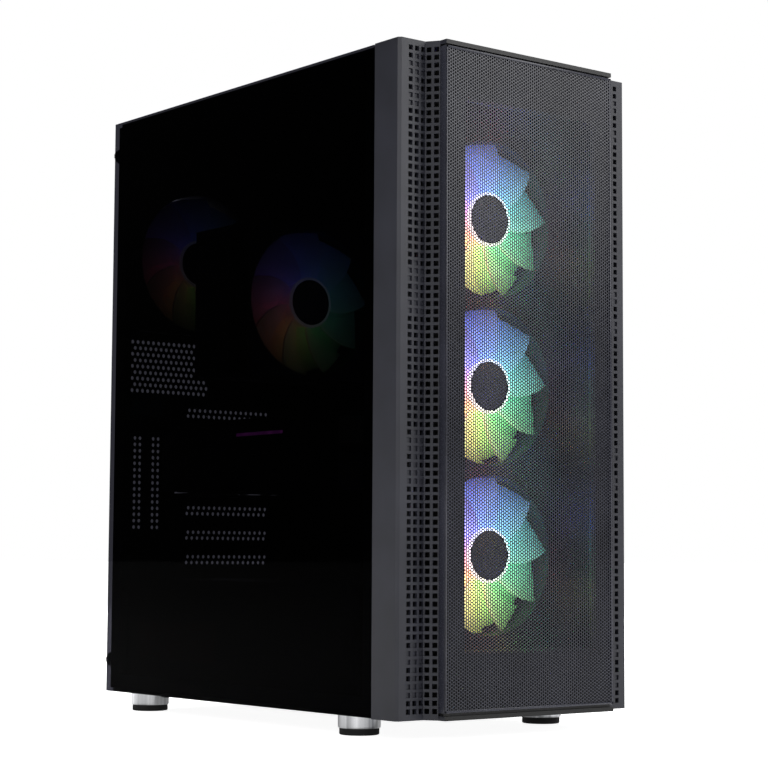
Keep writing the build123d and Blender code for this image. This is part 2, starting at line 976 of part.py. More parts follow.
def vrmHeatsinks():
    pieces = []
    x = boardFaceX - heatsinkReach
    upper = block((x, cpuY - 40, boardTopZ - 32), (boardFaceX, cpuY + 30, boardTopZ - 12))
    side = block((x, cpuY + 44, cpuZ - 40), (boardFaceX, cpuY + 62, cpuZ + 40))
    for rank in range(8):
        y = cpuY - 36 + 8.4 * rank
        upper = upper - block((x - 4, y, boardTopZ - 40), (boardFaceX - 12, y + 3.5, boardTopZ))
    for rank in range(9):
        z = cpuZ - 36 + 8.4 * rank
        side = side - block((x - 4, cpuY + 40, z), (boardFaceX - 12, cpuY + 70, z + 3.5))
    return group([upper, side])


def rearSocketBlock():
    x0, x1 = boardFaceX - 38, boardFaceX
    body = block((x0, boardRearY - 30, ioLowZ + 6), (x1, wallRearY, ioTopZ - 6))
    cuts = []
    for rank in range(4):
        z = ioLowZ + 40 + 17.0 * rank
        high = (x0 + 8 + usbHeight, wallRearY + 1, z + usbWidth)
        cuts.append(block((x0 + 8, wallRearY - usbDepth, z), high))
    network = (x0 + 16, wallRearY - usbDepth, ioLowZ + 14)
    cuts.append(block(network, (x0 + 28, wallRearY + 1, ioLowZ + 27)))
    for rank in range(3):
        cuts.append(rod((x0 + 19, wallRearY, ioTopZ - 16 - 14.0 * rank), audioRadius, 2 * usbDepth, "Y"))
    return body.cut(*cuts)


# ---------------------------------------------------------------- processor cooler


def coolerFaceX():
    return boardFaceX - socketThick


def coolerBaseBlock():
    half = coolerBase / 2
    x1 = coolerFaceX()
    base = block((x1 - coolerBlock, cpuY - half, cpuZ - half), (x1, cpuY + half, cpuZ + half))
    cuts = [rod((x1 - coolerBlock, y, cpuZ), pipeRadius + fitGap, coolerBase + 2, "Z") for y in pipeRows()]
    return base.cut(*cuts)


def pipeRows():
    return [cpuY - 15.0 + 10.0 * rank for rank in range(4)]


def coolerHeatpipes():
    pieces = []
    flatX = coolerFaceX() - coolerBlock
    for y in pipeRows():
        points = [
            (coolerTopX - 2, y, cpuZ - pipeSpread),
            (flatX, y, cpuZ - pipeSpread),
            (flatX, y, cpuZ + pipeSpread),
            (coolerTopX - 2, y, cpuZ + pipeSpread),
        ]
        path = FilletPolyline(*points, radius=12.0)
        profile = Plane(origin=points[0], z_dir=(1, 0, 0)) * Circle(pipeRadius)
        pieces.append(sweep(profile, path=path))
    return group(pieces)


def finFrontY():
    return cpuY - finDepth / 2


def coolerFins():
    holes = []
    for y in pipeRows():
        for side in (-1, 1):
            spot = (coolerTopX, y, cpuZ + side * pipeSpread)
            holes.append(circleWire(spot, pipeRadius + fitGap, (1, 0, 0)))
    low = (coolerTopX, finFrontY(), cpuZ - finHeight / 2)
    high = (coolerTopX, finFrontY() + finDepth, cpuZ + finHeight / 2)
    fin = sheet(low, high, holes, (finThick, 0, 0))
    return group([fin.moved(Location((finPitch * rank, 0, 0))) for rank in range(finCount)])


def coolerFanPlace():
    return (coolerTopX + fanSize / 2 - 2.0, finFrontY() - fanDepth - fitGap, cpuZ)


# ---------------------------------------------------------------- graphics card


def cardRearY():
    return wallInnerY - 2.0


def cardFrontY():
    return cardRearY() - cardLength


def cardBoardZ():
    return slotAt(5) + cardPlaneShift


def cardNearX():
    return boardFaceX - 14.0


def gpuBoard():
    z = cardBoardZ()
    half = cardBoard / 2
    board = block((cardEdgeX + 6, cardFrontY() + 4, z - half), (cardNearX(), cardRearY(), z + half))
    tabRear = boardRearY - slotSetback - 2.0
    tab = block((cardNearX(), tabRear - 84, z - half), (boardFaceX - slotReach, tabRear, z + half))
    return joined([board, tab])


def gpuBackplate():
    z = cardBoardZ() + cardBoard / 2 + 0.9
    plate = block((cardEdgeX, cardFrontY(), z), (cardNearX(), cardRearY(), z + backplateThick))
    cuts = []
    for rank in range(6):
        y = cardFrontY() + 14 + 9.0 * rank
        cuts.append(block((-30, y, z - 1), (30, y + 4, z + 3)))
    return plate.cut(*cuts)


def cardLowZ():
    return cardBoardZ() + 3.3 - cardThick


def gpuShroud():
    low = (cardEdgeX, cardFrontY(), cardLowZ())
    high = (cardNearX(), cardRearY(), cardBoardZ() - 1.2)
    outer = block(low, high)
    outer = chamfer(outer.edges().filter_by(Axis.Y).group_by(Axis.Z)[0], 5.0)
    inner = block([a + cardWall for a in low], (high[0] - cardWall, high[1] + 1, high[2] + 1))
    shell = outer - inner
    for y in cardFanYs():
        shell = shell - rod((cardFanX(), y, low[2]), cardFan + 1.0, 20, "Z")
    return shell


def cardFanX():
    return (cardEdgeX + cardNearX()) / 2


def cardFanYs():
    middle = (cardFrontY() + cardRearY()) / 2
    return (middle - cardFanPitch / 2, middle + cardFanPitch / 2)


def gpuRotor(rank):
    rotor = fanRotor(cardFan, cardHub, cardRotorDepth, cardBlades)
    rotor = rotor.rotate(Axis.X, 90)
    return rotor.moved(Location((cardFanX(), cardFanYs()[rank], cardLowZ() + 0.6)))


def gpuHeatsink():
    x0, x1 = cardEdgeX + cardWall + 1.0, cardNearX() - cardWall - 1.0
    low = cardLowZ() + cardRotorDepth + 3.0
    high = cardBoardZ() - 1.6
    spine = block((x0, cardFrontY() + 6, high - 4.0), (x1, cardRearY() - 12, high))
    fins = []
    count = int((cardLength - 22) / cardFinPitch)
    for rank in range(count):
        y = cardFrontY() + 7 + cardFinPitch * rank
        fins.append(block((x0, y, low), (x1, y + cardFin, high - 4.0)))
    return joined([spine] + fins)


def gpuBracket():
    y = wallInnerY - steel - 0.8
    low = (slotFar + 2, y, slotAt(3) - slotHeight / 2 + 1)
    high = (slotNear - 2, y, slotAt(5) + slotHeight / 2 - 1)
    holes = []
    for x in cardSocketXs:
        z = slotAt(4) + 12.0
        holes.append(rectangleWire((x - 8, y, z - 3), (x + 8, y, z + 3)))
    return sheet(low, high, holes, (0, steel, 0))


# ---------------------------------------------------------------- power supply


def psuCase():
    low = (psuLeft, psuFrontY, psuLowZ)
    high = (psuLeft + psuWidth, psuRearY, psuTopZ)
    case = block(low, high)
    case = case - block([a + steel for a in low], [b - steel for b in high])
    case = case - rod((psuX, psuY, psuLowZ), psuFan + 1.0, 8, "Z")
    ix, iz = inletPlace()
    margin = inletMargin
    hole = block(
        (ix - inletWidth / 2 - margin, psuRearY - 3, iz - inletHeight / 2 - margin),
        (ix + inletWidth / 2 + margin, psuRearY + 3, iz + inletHeight / 2 + margin),
    )
    case = case - hole
    rx, rz = rockerPlace()
    w, h = holderHalfWidth, holderHalfHeight
    case = case - block((rx - w, psuRearY - 3, rz - h), (rx + w, psuRearY + 3, rz + h))
    vents = []
    for column in range(14):
        for row in range(9):
            x = psuLeft + 14 + psuVentPitch * (column + (0.5 if row % 2 else 0.0))
            if x < ix - inletWidth / 2 - 6:
                spot = (x, psuRearY, psuLowZ + 15 + psuVentPitch * row)
                vents.append(rod(spot, psuVentRadius, 6, "Y"))
    return case.cut(*vents)


def inletPlace():
    return (psuLeft + psuWidth - inletFromEdge, psuLowZ + inletRise)


def rockerPlace():
    return (psuLeft + psuWidth - inletFromEdge, psuLowZ + rockerRise)


def psuInlet():
    ix, iz = inletPlace()
    margin = inletMargin - fitGap
    outer = block(
        (ix - inletWidth / 2 - margin, psuRearY - 20, iz - inletHeight / 2 - margin),
        (ix + inletWidth / 2 + margin, psuRearY + 1, iz + inletHeight / 2 + margin),
    )
    recess = block(
        (ix - inletWidth / 2, psuRearY - 16, iz - inletHeight / 2),
        (ix + inletWidth / 2, psuRearY + 5, iz + inletHeight / 2),
    )
    return group([outer - recess, rockerHolder()])


def rockerHolder():
    rx, rz = rockerPlace()
    w, h = holderHalfWidth - fitGap, holderHalfHeight - fitGap
    outer = block((rx - w, psuRearY - 10, rz - h), (rx + w, psuRearY + 1, rz + h))
    inW, inH = holderHalfWidth - holderWall, holderHalfHeight - holderWall
    recess = block((rx - inW, psuRearY - 8, rz - inH), (rx + inW, psuRearY + 5, rz + inH))
    bore = rod((rx, rockerAxleY(), rz), rockerAxle + axleGap, 2 * inW + 1.6, "X")
    return outer - recess - bore


def rockerAxleY():
    return psuRearY - 3.5


def psuRocker():
    # The two flats of the rocker meet at a shallow angle, about an axle along X.
    rx, rz = rockerPlace()
    y = rockerAxleY()
    tips = [(y + 4.0, rz - 7.6), (y + 2.6, rz), (y + 4.0, rz + 7.6)]
    points = tips + [(y - 1.5, rz + 5.5), (y - 1.5, rz - 5.5)]
    wire = Wire.make_polygon([(rx - rockerHalf, a, b) for a, b in points], close=True)
    key = Solid.extrude(Face(wire), (2 * rockerHalf, 0, 0))
    reach = holderHalfWidth - holderWall + 0.6
    return joined([key, rod((rx, y, rz), rockerAxle, 2 * reach, "X")])


def psuGuard():
    # A wire guard of rings and spokes under the fan.
    z = psuLowZ + 0.75
    wire = guardWire
    pieces = []
    for radius in (15.0, 27.0, 39.0, 51.0, psuFan):
        ring = rod((psuX, psuY, z), radius + wire, 2 * wire, "Z")
        pieces.append(ring - rod((psuX, psuY, z), radius - wire, 4, "Z"))
    for rank in range(4):
        bar = block((-psuFan, -wire, -wire), (psuFan, wire, wire)).rotate(Axis.Z, 45 * rank)
        pieces.append(bar.moved(Location((psuX, psuY, z))))
    return joined(pieces)


def psuRotor():
    rotor = fanRotor(psuFan - 3.0, psuHub, psuRotorDepth, psuBlades).rotate(Axis.X, 90)
    return rotor.moved(Location((psuX, psuY, psuLowZ + 2.5)))


# ---------------------------------------------------------------- drives


def cageBox():
    return (cageLeftX, shroudFrontY + 16, baseTopZ, cageRightX, psuFrontY - 34, shroudZ - steel - 2.0)


def driveCage():
    x0, y0, z0, x1, y1, z1 = cageBox()
    outer = block((x0, y0, z0), (x1, y1, z1))
    inner = block((x0 - 1, y0 + steel, z0 + steel), (x1 + 1, y1 - steel, z1 - steel))
    cage = outer - inner
    shelf = block((x0, y0, z0 + bayHeight), (x1, y1, z0 + bayHeight + steel))
    return joined([cage, shelf])


def hardDrive():
    x0, y0, z0, x1, y1, z1 = cageBox()
    middle = (y0 + y1) / 2
    low = (x0 + 2, middle - driveWidth / 2, z0 + steel + driveLift)
    drive = block(low, (low[0] + driveLength, low[1] + driveWidth, low[2] + driveHeight))
    return fillet(drive.edges().filter_by(Axis.Z), 3.0)


def solidStateDrive():
    x = trayX + steel
    y = boardFrontY + 8
    z = shroudZ + 30
    drive = block((x, y, z), (x + slimDriveThick, y + slimDriveWidth, z + slimDriveLength))
    return fillet(drive.edges().filter_by(Axis.X), 2.0)


# ---------------------------------------------------------------- slot covers


def slotCovers():
    # Each cover hangs inside its opening, with two rows of small vents.
    pieces = []
    y = wallInnerY
    for rank in range(slotCount):
        if rank in cardSlots:
            continue
        z = slotAt(rank)
        holes = []
        for column in range(16):
            for row in (-1, 1):
                shift = coverHolePitch / 4 if row > 0 else 0.0
                x = slotFar + 12 + shift + coverHolePitch * column
                spot = (x, y - coverThick, z + row * coverHoleRow)
                holes.append(circleWire(spot, coverHole, (0, 1, 0)))
        low = (slotFar + slip - 4, y - coverThick, z - slotHeight / 2 - 2)
        high = (slotNear + 4 - slip, y - coverThick, z + slotHeight / 2 + 2)
        pieces.append(sheet(low, high, holes, (0, coverThick, 0)))
    return group(pieces)


def uprightCovers():
    pieces = []
    y = wallInnerY - coverThick
    for x in uprightSlots:
        holes = []
        z = floorZ + uprightLow + 6
        while z < floorZ + uprightHigh - 5:
            for row in (-1, 1):
                holes.append(circleWire((x + row * coverHoleRow, y, z), coverHole, (0, 1, 0)))
            z += coverHolePitch
        low = (x - slotHeight / 2 - 1.5, y, floorZ + uprightLow - 4)
        high = (x + slotHeight / 2 + 1.5, y, floorZ + uprightHigh + 4)
        pieces.append(sheet(low, high, holes, (0, coverThick, 0)))
    return group(pieces)


def slotClamp():
    # The pale plate that holds the tops of the upright covers.
    x0, x1 = uprightSlots[0] - 7.0, uprightSlots[1] + 5.5
    z0 = floorZ + uprightHigh + 10
    return block((x0, wallInnerY - 2.0, z0), (x1, wallInnerY, z0 + 16))


# ---------------------------------------------------------------- cables


def tube(points, radius):
    # Each arc is 0.45 of its shorter run, divided by the tangent of half the turn.
    corners = [Vector(*p) for p in points]
    radii = []
    for a, b, c in zip(corners, corners[1:], corners[2:]):
        turn = math.radians((b - a).get_angle(c - b))
        shorter = min((b - a).length, (c - b).length)
        radii.append(0.45 * shorter / math.tan(turn / 2))
    path = FilletPolyline(*points, radius=radii)
    start = corners[1] - corners[0]
    profile = Plane(origin=points[0], z_dir=start) * Circle(radius)
    solid = sweep(profile, path=path)
    share = solid.volume / (math.pi * radius**2 * path.length)
    print("cable", round(share, 4), [round(r, 1) for r in radii])
    return solid


def boardCable():
    return tube(
        [
            (64.0, -51.0, 287.0),
            (52.0, -51.0, 287.0),
            (42.0, -58.0, 287.5),
            (42.0, -72.0, 288.5),
            (54.0, -81.0, 289.5),
            (76.0, -82.0, 289.5),
            (92.0, -80.0, 284.0),
            (97.0, -78.0, 262.0),
            (98.5, -74.0, 222.0),
            (98.0, -66.0, 176.0),
            (97.0, -52.0, 130.0),
            (95.0, -28.0, 96.0),
            (84.0, -2.0, 68.0),
            (64.0, 18.0, 57.0),
            (46.0, 32.0, 53.0),
            (46.0, psuFrontY, 53.0),
        ],
        5.0,
    )


def cardCable():
    return tube(
        [
            (-61.0, -30.0, 206.0),
            (-71.0, -30.0, 206.0),
            (-79.0, -36.0, 205.0),
            (-79.0, -50.0, 203.0),
            (-66.0, -66.0, 202.0),
            (-36.0, -76.0, 202.5),
            (8.0, -82.0, 204.0),
            (52.0, -84.0, 206.0),
            (84.0, -84.0, 206.0),
            (96.0, -82.0, 198.0),
            (99.0, -78.0, 176.0),
            (98.0, -70.0, 138.0),
            (88.0, -56.0, 104.0),
            (76.0, -30.0, 86.0),
            (66.0, -2.0, 80.0),
            (52.0, 20.0, 78.0),
            (30.0, 34.0, 78.0),
            (30.0, psuFrontY, 78.0),
        ],
        3.2,
    )


# ---------------------------------------------------------------- everything

parts = {
    "front_bezel": frontBezel(),
    "front_mesh": frontMesh(),
    "chassis_base": chassisBase(),
    "chassis_top": chassisTop(),
    "chassis_rear": chassisRear(),
    "chassis_front": chassisFront(),
    "motherboard_tray": motherboardTray(),
    "psu_shroud": psuShroud(),
    "drive_cage": driveCage(),
    "hard_drive": hardDrive(),
    "solid_state_drive": solidStateDrive(),
    "glass_pane": glassPane(),
    "glass_frame": glassFrame(),
    "glass_thumbscrews": thumbscrews(-1),
    "right_side_panel": rightSidePanel(),
    "right_thumbscrews": thumbscrews(1),
    "foot_rings": footRings(),
    "foot_pads": footPads(),
    "top_dust_filter": topDustFilter(),
    "psu_dust_filter": psuDustFilter(),
    "control_block": controlBlock(),
    "power_button": button(powerX, powerRadius),
    "light_button": button(lightX, lightRadius),
    "motherboard": motherboard(),
    "standoffs": standoffs(),
    "board_sockets": boardSockets(),
    "ram_modules": ramModules(),
    "vrm_heatsinks": vrmHeatsinks(),
    "rear_socket_block": rearSocketBlock(),
    "grommets": grommets(),
    "cooler_base": coolerBaseBlock(),
    "cooler_heatpipes": coolerHeatpipes(),
    "cooler_fins": coolerFins(),
    "gpu_board": gpuBoard(),
    "gpu_backplate": gpuBackplate(),
    "gpu_shroud": gpuShroud(),
    "gpu_heatsink": gpuHeatsink(),
    "gpu_bracket": gpuBracket(),
    "gpu_rotor_1": gpuRotor(0),
    "gpu_rotor_2": gpuRotor(1),
    "psu_case": psuCase(),
    "psu_inlet": psuInlet(),
    "psu_rocker": psuRocker(),
    "psu_guard": psuGuard(),
    "psu_rotor": psuRotor(),
    "slot_covers": slotCovers(),
    "upright_slot_covers": uprightCovers(),
    "slot_clamp": slotClamp(),
    "board_cable": boardCable(),
    "card_cable": cardCable(),
}

frame = fanFrame(fanSize, fanDepth, fanBore, fanFlange)
rotor = fanRotor(rotorRadius, hubRadius, rotorDepth, fanBlades)
fanPlaces = {
    "rear_fan": (rearFanX, wallInnerY - fanDepth, floorZ + rearFanHeight),
    "cooler_fan": coolerFanPlace(),
}
for rank in range(3):
    fanPlaces[f"front_fan_{rank + 1}"] = (0, fanFrontY, floorZ + frontFanLow + fanPitch * rank)
for name, place in fanPlaces.items():
    parts[name + "_frame"] = frame.moved(Location(place))
    parts[name + "_rotor"] = rotor.moved(Location(place))

for name, shape in parts.items():
    export_step(shape, f"parts/{name}.step")
print(len(parts), "parts")
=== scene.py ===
import math

import bmesh
import bpy
from mathutils import Matrix, Vector


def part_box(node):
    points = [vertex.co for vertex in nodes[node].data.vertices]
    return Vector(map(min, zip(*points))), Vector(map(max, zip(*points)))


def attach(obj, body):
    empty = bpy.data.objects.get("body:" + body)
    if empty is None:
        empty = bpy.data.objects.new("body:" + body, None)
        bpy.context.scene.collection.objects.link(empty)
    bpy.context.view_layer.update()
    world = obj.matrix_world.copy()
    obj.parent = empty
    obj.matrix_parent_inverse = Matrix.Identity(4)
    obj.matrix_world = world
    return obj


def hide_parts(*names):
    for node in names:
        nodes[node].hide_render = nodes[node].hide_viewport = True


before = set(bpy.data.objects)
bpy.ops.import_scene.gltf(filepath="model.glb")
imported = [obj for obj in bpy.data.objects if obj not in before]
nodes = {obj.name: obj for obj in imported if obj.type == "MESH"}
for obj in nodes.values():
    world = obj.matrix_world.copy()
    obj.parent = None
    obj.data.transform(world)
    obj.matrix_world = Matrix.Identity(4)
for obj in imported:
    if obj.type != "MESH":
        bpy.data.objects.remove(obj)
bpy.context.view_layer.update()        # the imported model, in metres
mm = 0.001

# Colour and node helpers.


def toLinear(code):
    parts = [int(code[i:i + 2], 16) / 255 for i in (1, 3, 5)]
    return tuple(c / 12.92 if c <= 0.04045 else ((c + 0.055) / 1.055) ** 2.4 for c in parts) + (1.0,)


def addNode(tree, kind, values=None, links=None, **looks):
    node = tree.nodes.new(kind)
    for name, value in looks.items():
        setattr(node, name, value)
    for key, value in (values or {}).items():
        node.inputs[key].default_value = value
    for key, socket in (links or {}).items():
        tree.links.new(socket, node.inputs[key])
    return node


def emptyMaterial(name):
    material = bpy.data.materials.new(name)
    material.use_nodes = True
    material.node_tree.nodes.clear()
    return material, material.node_tree


def colourRamp(tree, factor, stops):
    ramp = addNode(tree, "ShaderNodeValToRGB", links={"Fac": factor})
    band = ramp.color_ramp
    while len(band.elements) < len(stops):
        band.elements.new(0.5)
    for element, (place, code) in zip(band.elements, stops):
        element.position = place
        element.color = toLinear(code)
    return ramp.outputs["Color"]


def showSurface(tree, shader):
    addNode(tree, "ShaderNodeOutputMaterial", links={"Surface": shader})


# Materials.


def grainedFinish(name, v):
    # A surface with fine grain: the colour wanders a little, and the gloss and the bump follow the grain.
    material, tree = emptyMaterial(name)
    place = addNode(tree, "ShaderNodeTexCoord").outputs["Object"]
    grain = addNode(
        tree, "ShaderNodeTexNoise", {"Scale": 1 / (v["grainMm"] * mm), "Detail": 3.0}, {"Vector": place})
    cloud = addNode(
        tree, "ShaderNodeTexNoise", {"Scale": 1 / (v["cloudMm"] * mm), "Detail": 2.0}, {"Vector": place})
    mixed = addNode(
        tree, "ShaderNodeMath", {1: 0.5}, {0: grain.outputs["Fac"], 2: cloud.outputs["Fac"]},
        operation="MULTIPLY_ADD",
    ).outputs[0]
    colour = colourRamp(tree, mixed, [(0.45, v["dark"]), (1.05, v["light"])])
    # Painted shade: within shadedInsideMm of the middle the colour is mixed to near black, for the shade
    # behind the cover
    if "shadedInsideMm" in v:      # the middle of the piece, behind a cover, stays black
        across = addNode(tree, "ShaderNodeSeparateXYZ", links={0: place}).outputs["X"]
        away = addNode(tree, "ShaderNodeMath", links={0: across}, operation="ABSOLUTE").outputs[0]
        outer = addNode(
            tree, "ShaderNodeMath", {1: v["shadedInsideMm"] * mm}, {0: away}, operation="GREATER_THAN")
        # the near black here is painted shade, not the cover's own colour
        colour = addNode(
            tree, "ShaderNodeMix", {6: toLinear("#040405")}, {0: outer.outputs[0], 7: colour},
            data_type="RGBA"
        ).outputs[2]
    gloss = addNode(
        tree, "ShaderNodeMapRange", {"To Min": v["rough"][0], "To Max": v["rough"][1]},
        {"Value": grain.outputs["Fac"]},
    ).outputs[0]
    bump = addNode(
        tree, "ShaderNodeBump", {"Strength": v["bump"], "Distance": v["bumpMm"] * mm},
        {"Height": grain.outputs["Fac"]},
    ).outputs[0]
    shader = addNode(
        tree, "ShaderNodeBsdfPrincipled",
        {"Metallic": v.get("metallic", 0.0), "IOR": v.get("ior", 1.5), "Coat Weight": v.get("coat", 0.0),
         "Coat Roughness": v.get("coatRough", 0.1)},
        {"Base Color": colour, "Roughness": gloss, "Normal": bump},
    )
    showSurface(tree, shader.outputs[0])
    return material


def brushedFinish(name, v):
    # Metal with fine lines along one axis, which stretch its highlights across them.
    material, tree = emptyMaterial(name)
    place = addNode(tree, "ShaderNodeTexCoord").outputs["Object"]
    lines = addNode(tree, "ShaderNodeMapping", {"Scale": v["stretch"]}, {"Vector": place}).outputs[0]
    streak = addNode(
        tree, "ShaderNodeTexNoise", {"Scale": 1 / (v["lineMm"] * mm), "Detail": 4.0}, {"Vector": lines})
    # For the chrome the dark and light bands in this colour are painted reflections; for the other metals
    # they are the lines' own tone.
    colour = colourRamp(tree, streak.outputs["Fac"], [(0.3, v["dark"]), (0.7, v["light"])])
    gloss = addNode(
        tree, "ShaderNodeMapRange", {"To Min": v["rough"][0], "To Max": v["rough"][1]},
        {"Value": streak.outputs["Fac"]},
    ).outputs[0]
    bump = addNode(
        tree, "ShaderNodeBump", {"Strength": v["bump"], "Distance": 0.02 * mm},
        {"Height": streak.outputs["Fac"]}
    ).outputs[0]
    shader = addNode(
        tree, "ShaderNodeBsdfPrincipled", {"Metallic": 1.0},
        {"Base Color": colour, "Roughness": gloss, "Normal": bump},
    )
    showSurface(tree, shader.outputs[0])
    return material


def tintedGlass():
    # Dark grey tempered glass: nearly black from outside, and lit parts behind it still glow through.
    material, tree = emptyMaterial("temperedGlass")
    place = addNode(tree, "ShaderNodeTexCoord").outputs["Object"]
    smear = addNode(tree, "ShaderNodeTexNoise", {"Scale": 9.0, "Detail": 2.0}, {"Vector": place})
    tint = colourRamp(tree, smear.outputs["Fac"], [(0.3, "#6e6e75"), (0.7, "#74747b")])
    clear = addNode(tree, "ShaderNodeBsdfTransparent", links={"Color": tint})
    gloss = addNode(
        tree, "ShaderNodeMapRange", {"To Min": 0.015, "To Max": 0.03}, {"Value": smear.outputs["Fac"]}
    ).outputs[0]
    mirror = addNode(
        tree, "ShaderNodeBsdfPrincipled", {"Base Color": toLinear("#050506"), "IOR": 1.3},
        {"Roughness": gloss}
    )
    slope = addNode(tree, "ShaderNodeLayerWeight", {"Blend": 0.5}).outputs["Facing"]
    edge = addNode(tree, "ShaderNodeMath", {1: 4.0}, {0: slope}, operation="POWER").outputs[0]
    share = addNode(
        tree, "ShaderNodeMapRange", {"To Min": 0.03, "To Max": 0.7}, {"Value": edge}).outputs[0]
    shader = addNode(
        tree, "ShaderNodeMixShader", links={0: share, 1: clear.outputs[0], 2: mirror.outputs[0]})
    showSurface(tree, shader.outputs[0])
    return material


glow = {
    # Colours round the hub, from the -X side over the top, as shares of a turn.
    "stops": [(0.0, "#ff7ab4"), (0.1, "#a070ff"), (0.2, "#4f68ff"), (0.32, "#48a8ff"), (0.44, "#46e0d4"),
              (0.58, "#58e690"), (0.69, "#b4ec62"), (0.78, "#ffe466"), (0.88, "#ffa862"),
              (1.0, "#ff7ab4")],
    "inner": 17 * mm, "outer": 55 * mm,
    "strong": 1.95, "weak": 0.1,
}


def litBlades(name, centre, strength, whiteness=0.3):
    # Milky polycarbonate lit from a ring of lamps in the hub: brightest at the root, fading to the tips.
    material, tree = emptyMaterial(name)
    place = addNode(tree, "ShaderNodeTexCoord").outputs["Object"]
    level = addNode(
        tree, "ShaderNodeMapping", {"Location": [-c for c in centre]}, {"Vector": place},
        vector_type="POINT",
    ).outputs[0]
    laid = addNode(
        tree, "ShaderNodeMapping", {"Rotation": (math.radians(90), 0, 0)}, {"Vector": level}).outputs[0]
    turn = addNode(
        tree, "ShaderNodeTexGradient", links={"Vector": laid}, gradient_type="RADIAL").outputs["Fac"]
    pure = colourRamp(tree, turn, glow["stops"])
    hue = addNode(
        tree, "ShaderNodeMix", {0: whiteness, 7: toLinear("#f4fbff")}, {6: pure}, data_type="RGBA"
    ).outputs[2]
    flat = addNode(
        tree, "ShaderNodeVectorMath", {1: (1, 1, 0)}, {0: laid}, operation="MULTIPLY").outputs[0]
    radius = addNode(tree, "ShaderNodeVectorMath", links={0: flat}, operation="LENGTH").outputs["Value"]
    fade = addNode(
        tree, "ShaderNodeMapRange",
        {"From Min": glow["inner"], "From Max": glow["outer"], "To Min": glow["strong"] * strength,
         "To Max": glow["weak"] * strength},
        {"Value": radius},
    ).outputs[0]
    hub = addNode(
        tree, "ShaderNodeMath", {1: glow["inner"] + 0.6 * mm}, {0: radius}, operation="GREATER_THAN"
    ).outputs[0]
    milk = addNode(tree, "ShaderNodeTexNoise", {"Scale": 1 / (14 * mm), "Detail": 1.0}, {"Vector": place})
    cloudy = addNode(
        tree, "ShaderNodeMapRange", {"To Min": 0.7, "To Max": 1.3}, {"Value": milk.outputs["Fac"]}
    ).outputs[0]
    even = addNode(tree, "ShaderNodeMath", links={0: fade, 1: cloudy}, operation="MULTIPLY").outputs[0]
    power = addNode(tree, "ShaderNodeMath", links={0: even, 1: hub}, operation="MULTIPLY").outputs[0]
    speck = addNode(
        tree, "ShaderNodeTexNoise", {"Scale": 1 / (0.8 * mm), "Detail": 2.0}, {"Vector": place})
    gloss = addNode(
        tree, "ShaderNodeMapRange", {"To Min": 0.2, "To Max": 0.34}, {"Value": speck.outputs["Fac"]}
    ).outputs[0]
    body = addNode(
        tree, "ShaderNodeMix", {6: toLinear("#101013")}, {0: hub, 7: hue}, data_type="RGBA"
    ).outputs[2]
    shader = addNode(
        tree, "ShaderNodeBsdfPrincipled", {},
        {"Base Color": body, "Roughness": gloss, "Emission Color": hue, "Emission Strength": power},
    )
    showSurface(tree, shader.outputs[0])
    return material


def solderMask():
    # Dark solder mask over copper: thin tracks run under it as slightly raised, slightly lighter lines.
    material, tree = emptyMaterial("solderMask")
    place = addNode(tree, "ShaderNodeTexCoord").outputs["Object"]
    cell = addNode(
        tree, "ShaderNodeTexVoronoi", {"Scale": 1 / (9 * mm)}, {"Vector": place}, distance="MANHATTAN"
    )
    wave = addNode(
        tree, "ShaderNodeMath", {1: 5.0}, {0: cell.outputs["Distance"]}, operation="MULTIPLY"
    ).outputs[0]
    saw = addNode(tree, "ShaderNodeMath", links={0: wave}, operation="FRACT").outputs[0]
    track = addNode(tree, "ShaderNodeMath", {1: 0.72}, {0: saw}, operation="GREATER_THAN").outputs[0]
    colour = addNode(
        tree, "ShaderNodeMix", {6: toLinear("#121317"), 7: toLinear("#1f2229")}, {0: track},
        data_type="RGBA",
    ).outputs[2]
    gloss = addNode(
        tree, "ShaderNodeMapRange", {"To Min": 0.34, "To Max": 0.26}, {"Value": track}).outputs[0]
    bump = addNode(
        tree, "ShaderNodeBump", {"Strength": 0.3, "Distance": 0.05 * mm}, {"Height": track}).outputs[0]
    shader = addNode(
        tree, "ShaderNodeBsdfPrincipled", {}, {"Base Color": colour, "Roughness": gloss, "Normal": bump}
    )
    showSurface(tree, shader.outputs[0])
    return material


def wovenFinish(name, v):
    # Two crossing sets of threads, for a filter net or a braided sleeve.
    material, tree = emptyMaterial(name)
    place = addNode(tree, "ShaderNodeTexCoord").outputs["Object"]
    turned = addNode(tree, "ShaderNodeMapping", {"Rotation": v["turn"]}, {"Vector": place}).outputs[0]
    sides = []
    for direction in v["directions"]:
        sides.append(addNode(
            tree, "ShaderNodeTexWave", {"Scale": v["scale"] / (v["threadMm"] * mm), "Distortion": 0.0},
            {"Vector": turned}, bands_direction=direction,
        ).outputs["Fac"])
    weave = addNode(
        tree, "ShaderNodeMath", links={0: sides[0], 1: sides[1]}, operation="MAXIMUM").outputs[0]
    colour = colourRamp(tree, weave, [(0.35, v["dark"]), (0.9, v["light"])])
    bump = addNode(
        tree, "ShaderNodeBump", {"Strength": 0.6, "Distance": v["bumpMm"] * mm}, {"Height": weave}
    ).outputs[0]
    gloss = addNode(
        tree, "ShaderNodeMapRange", {"To Min": 0.75, "To Max": 0.5}, {"Value": weave}).outputs[0]
    shader = addNode(
        tree, "ShaderNodeBsdfPrincipled", {}, {"Base Color": colour, "Roughness": gloss, "Normal": bump}
    )
    showSurface(tree, shader.outputs[0])
    return material


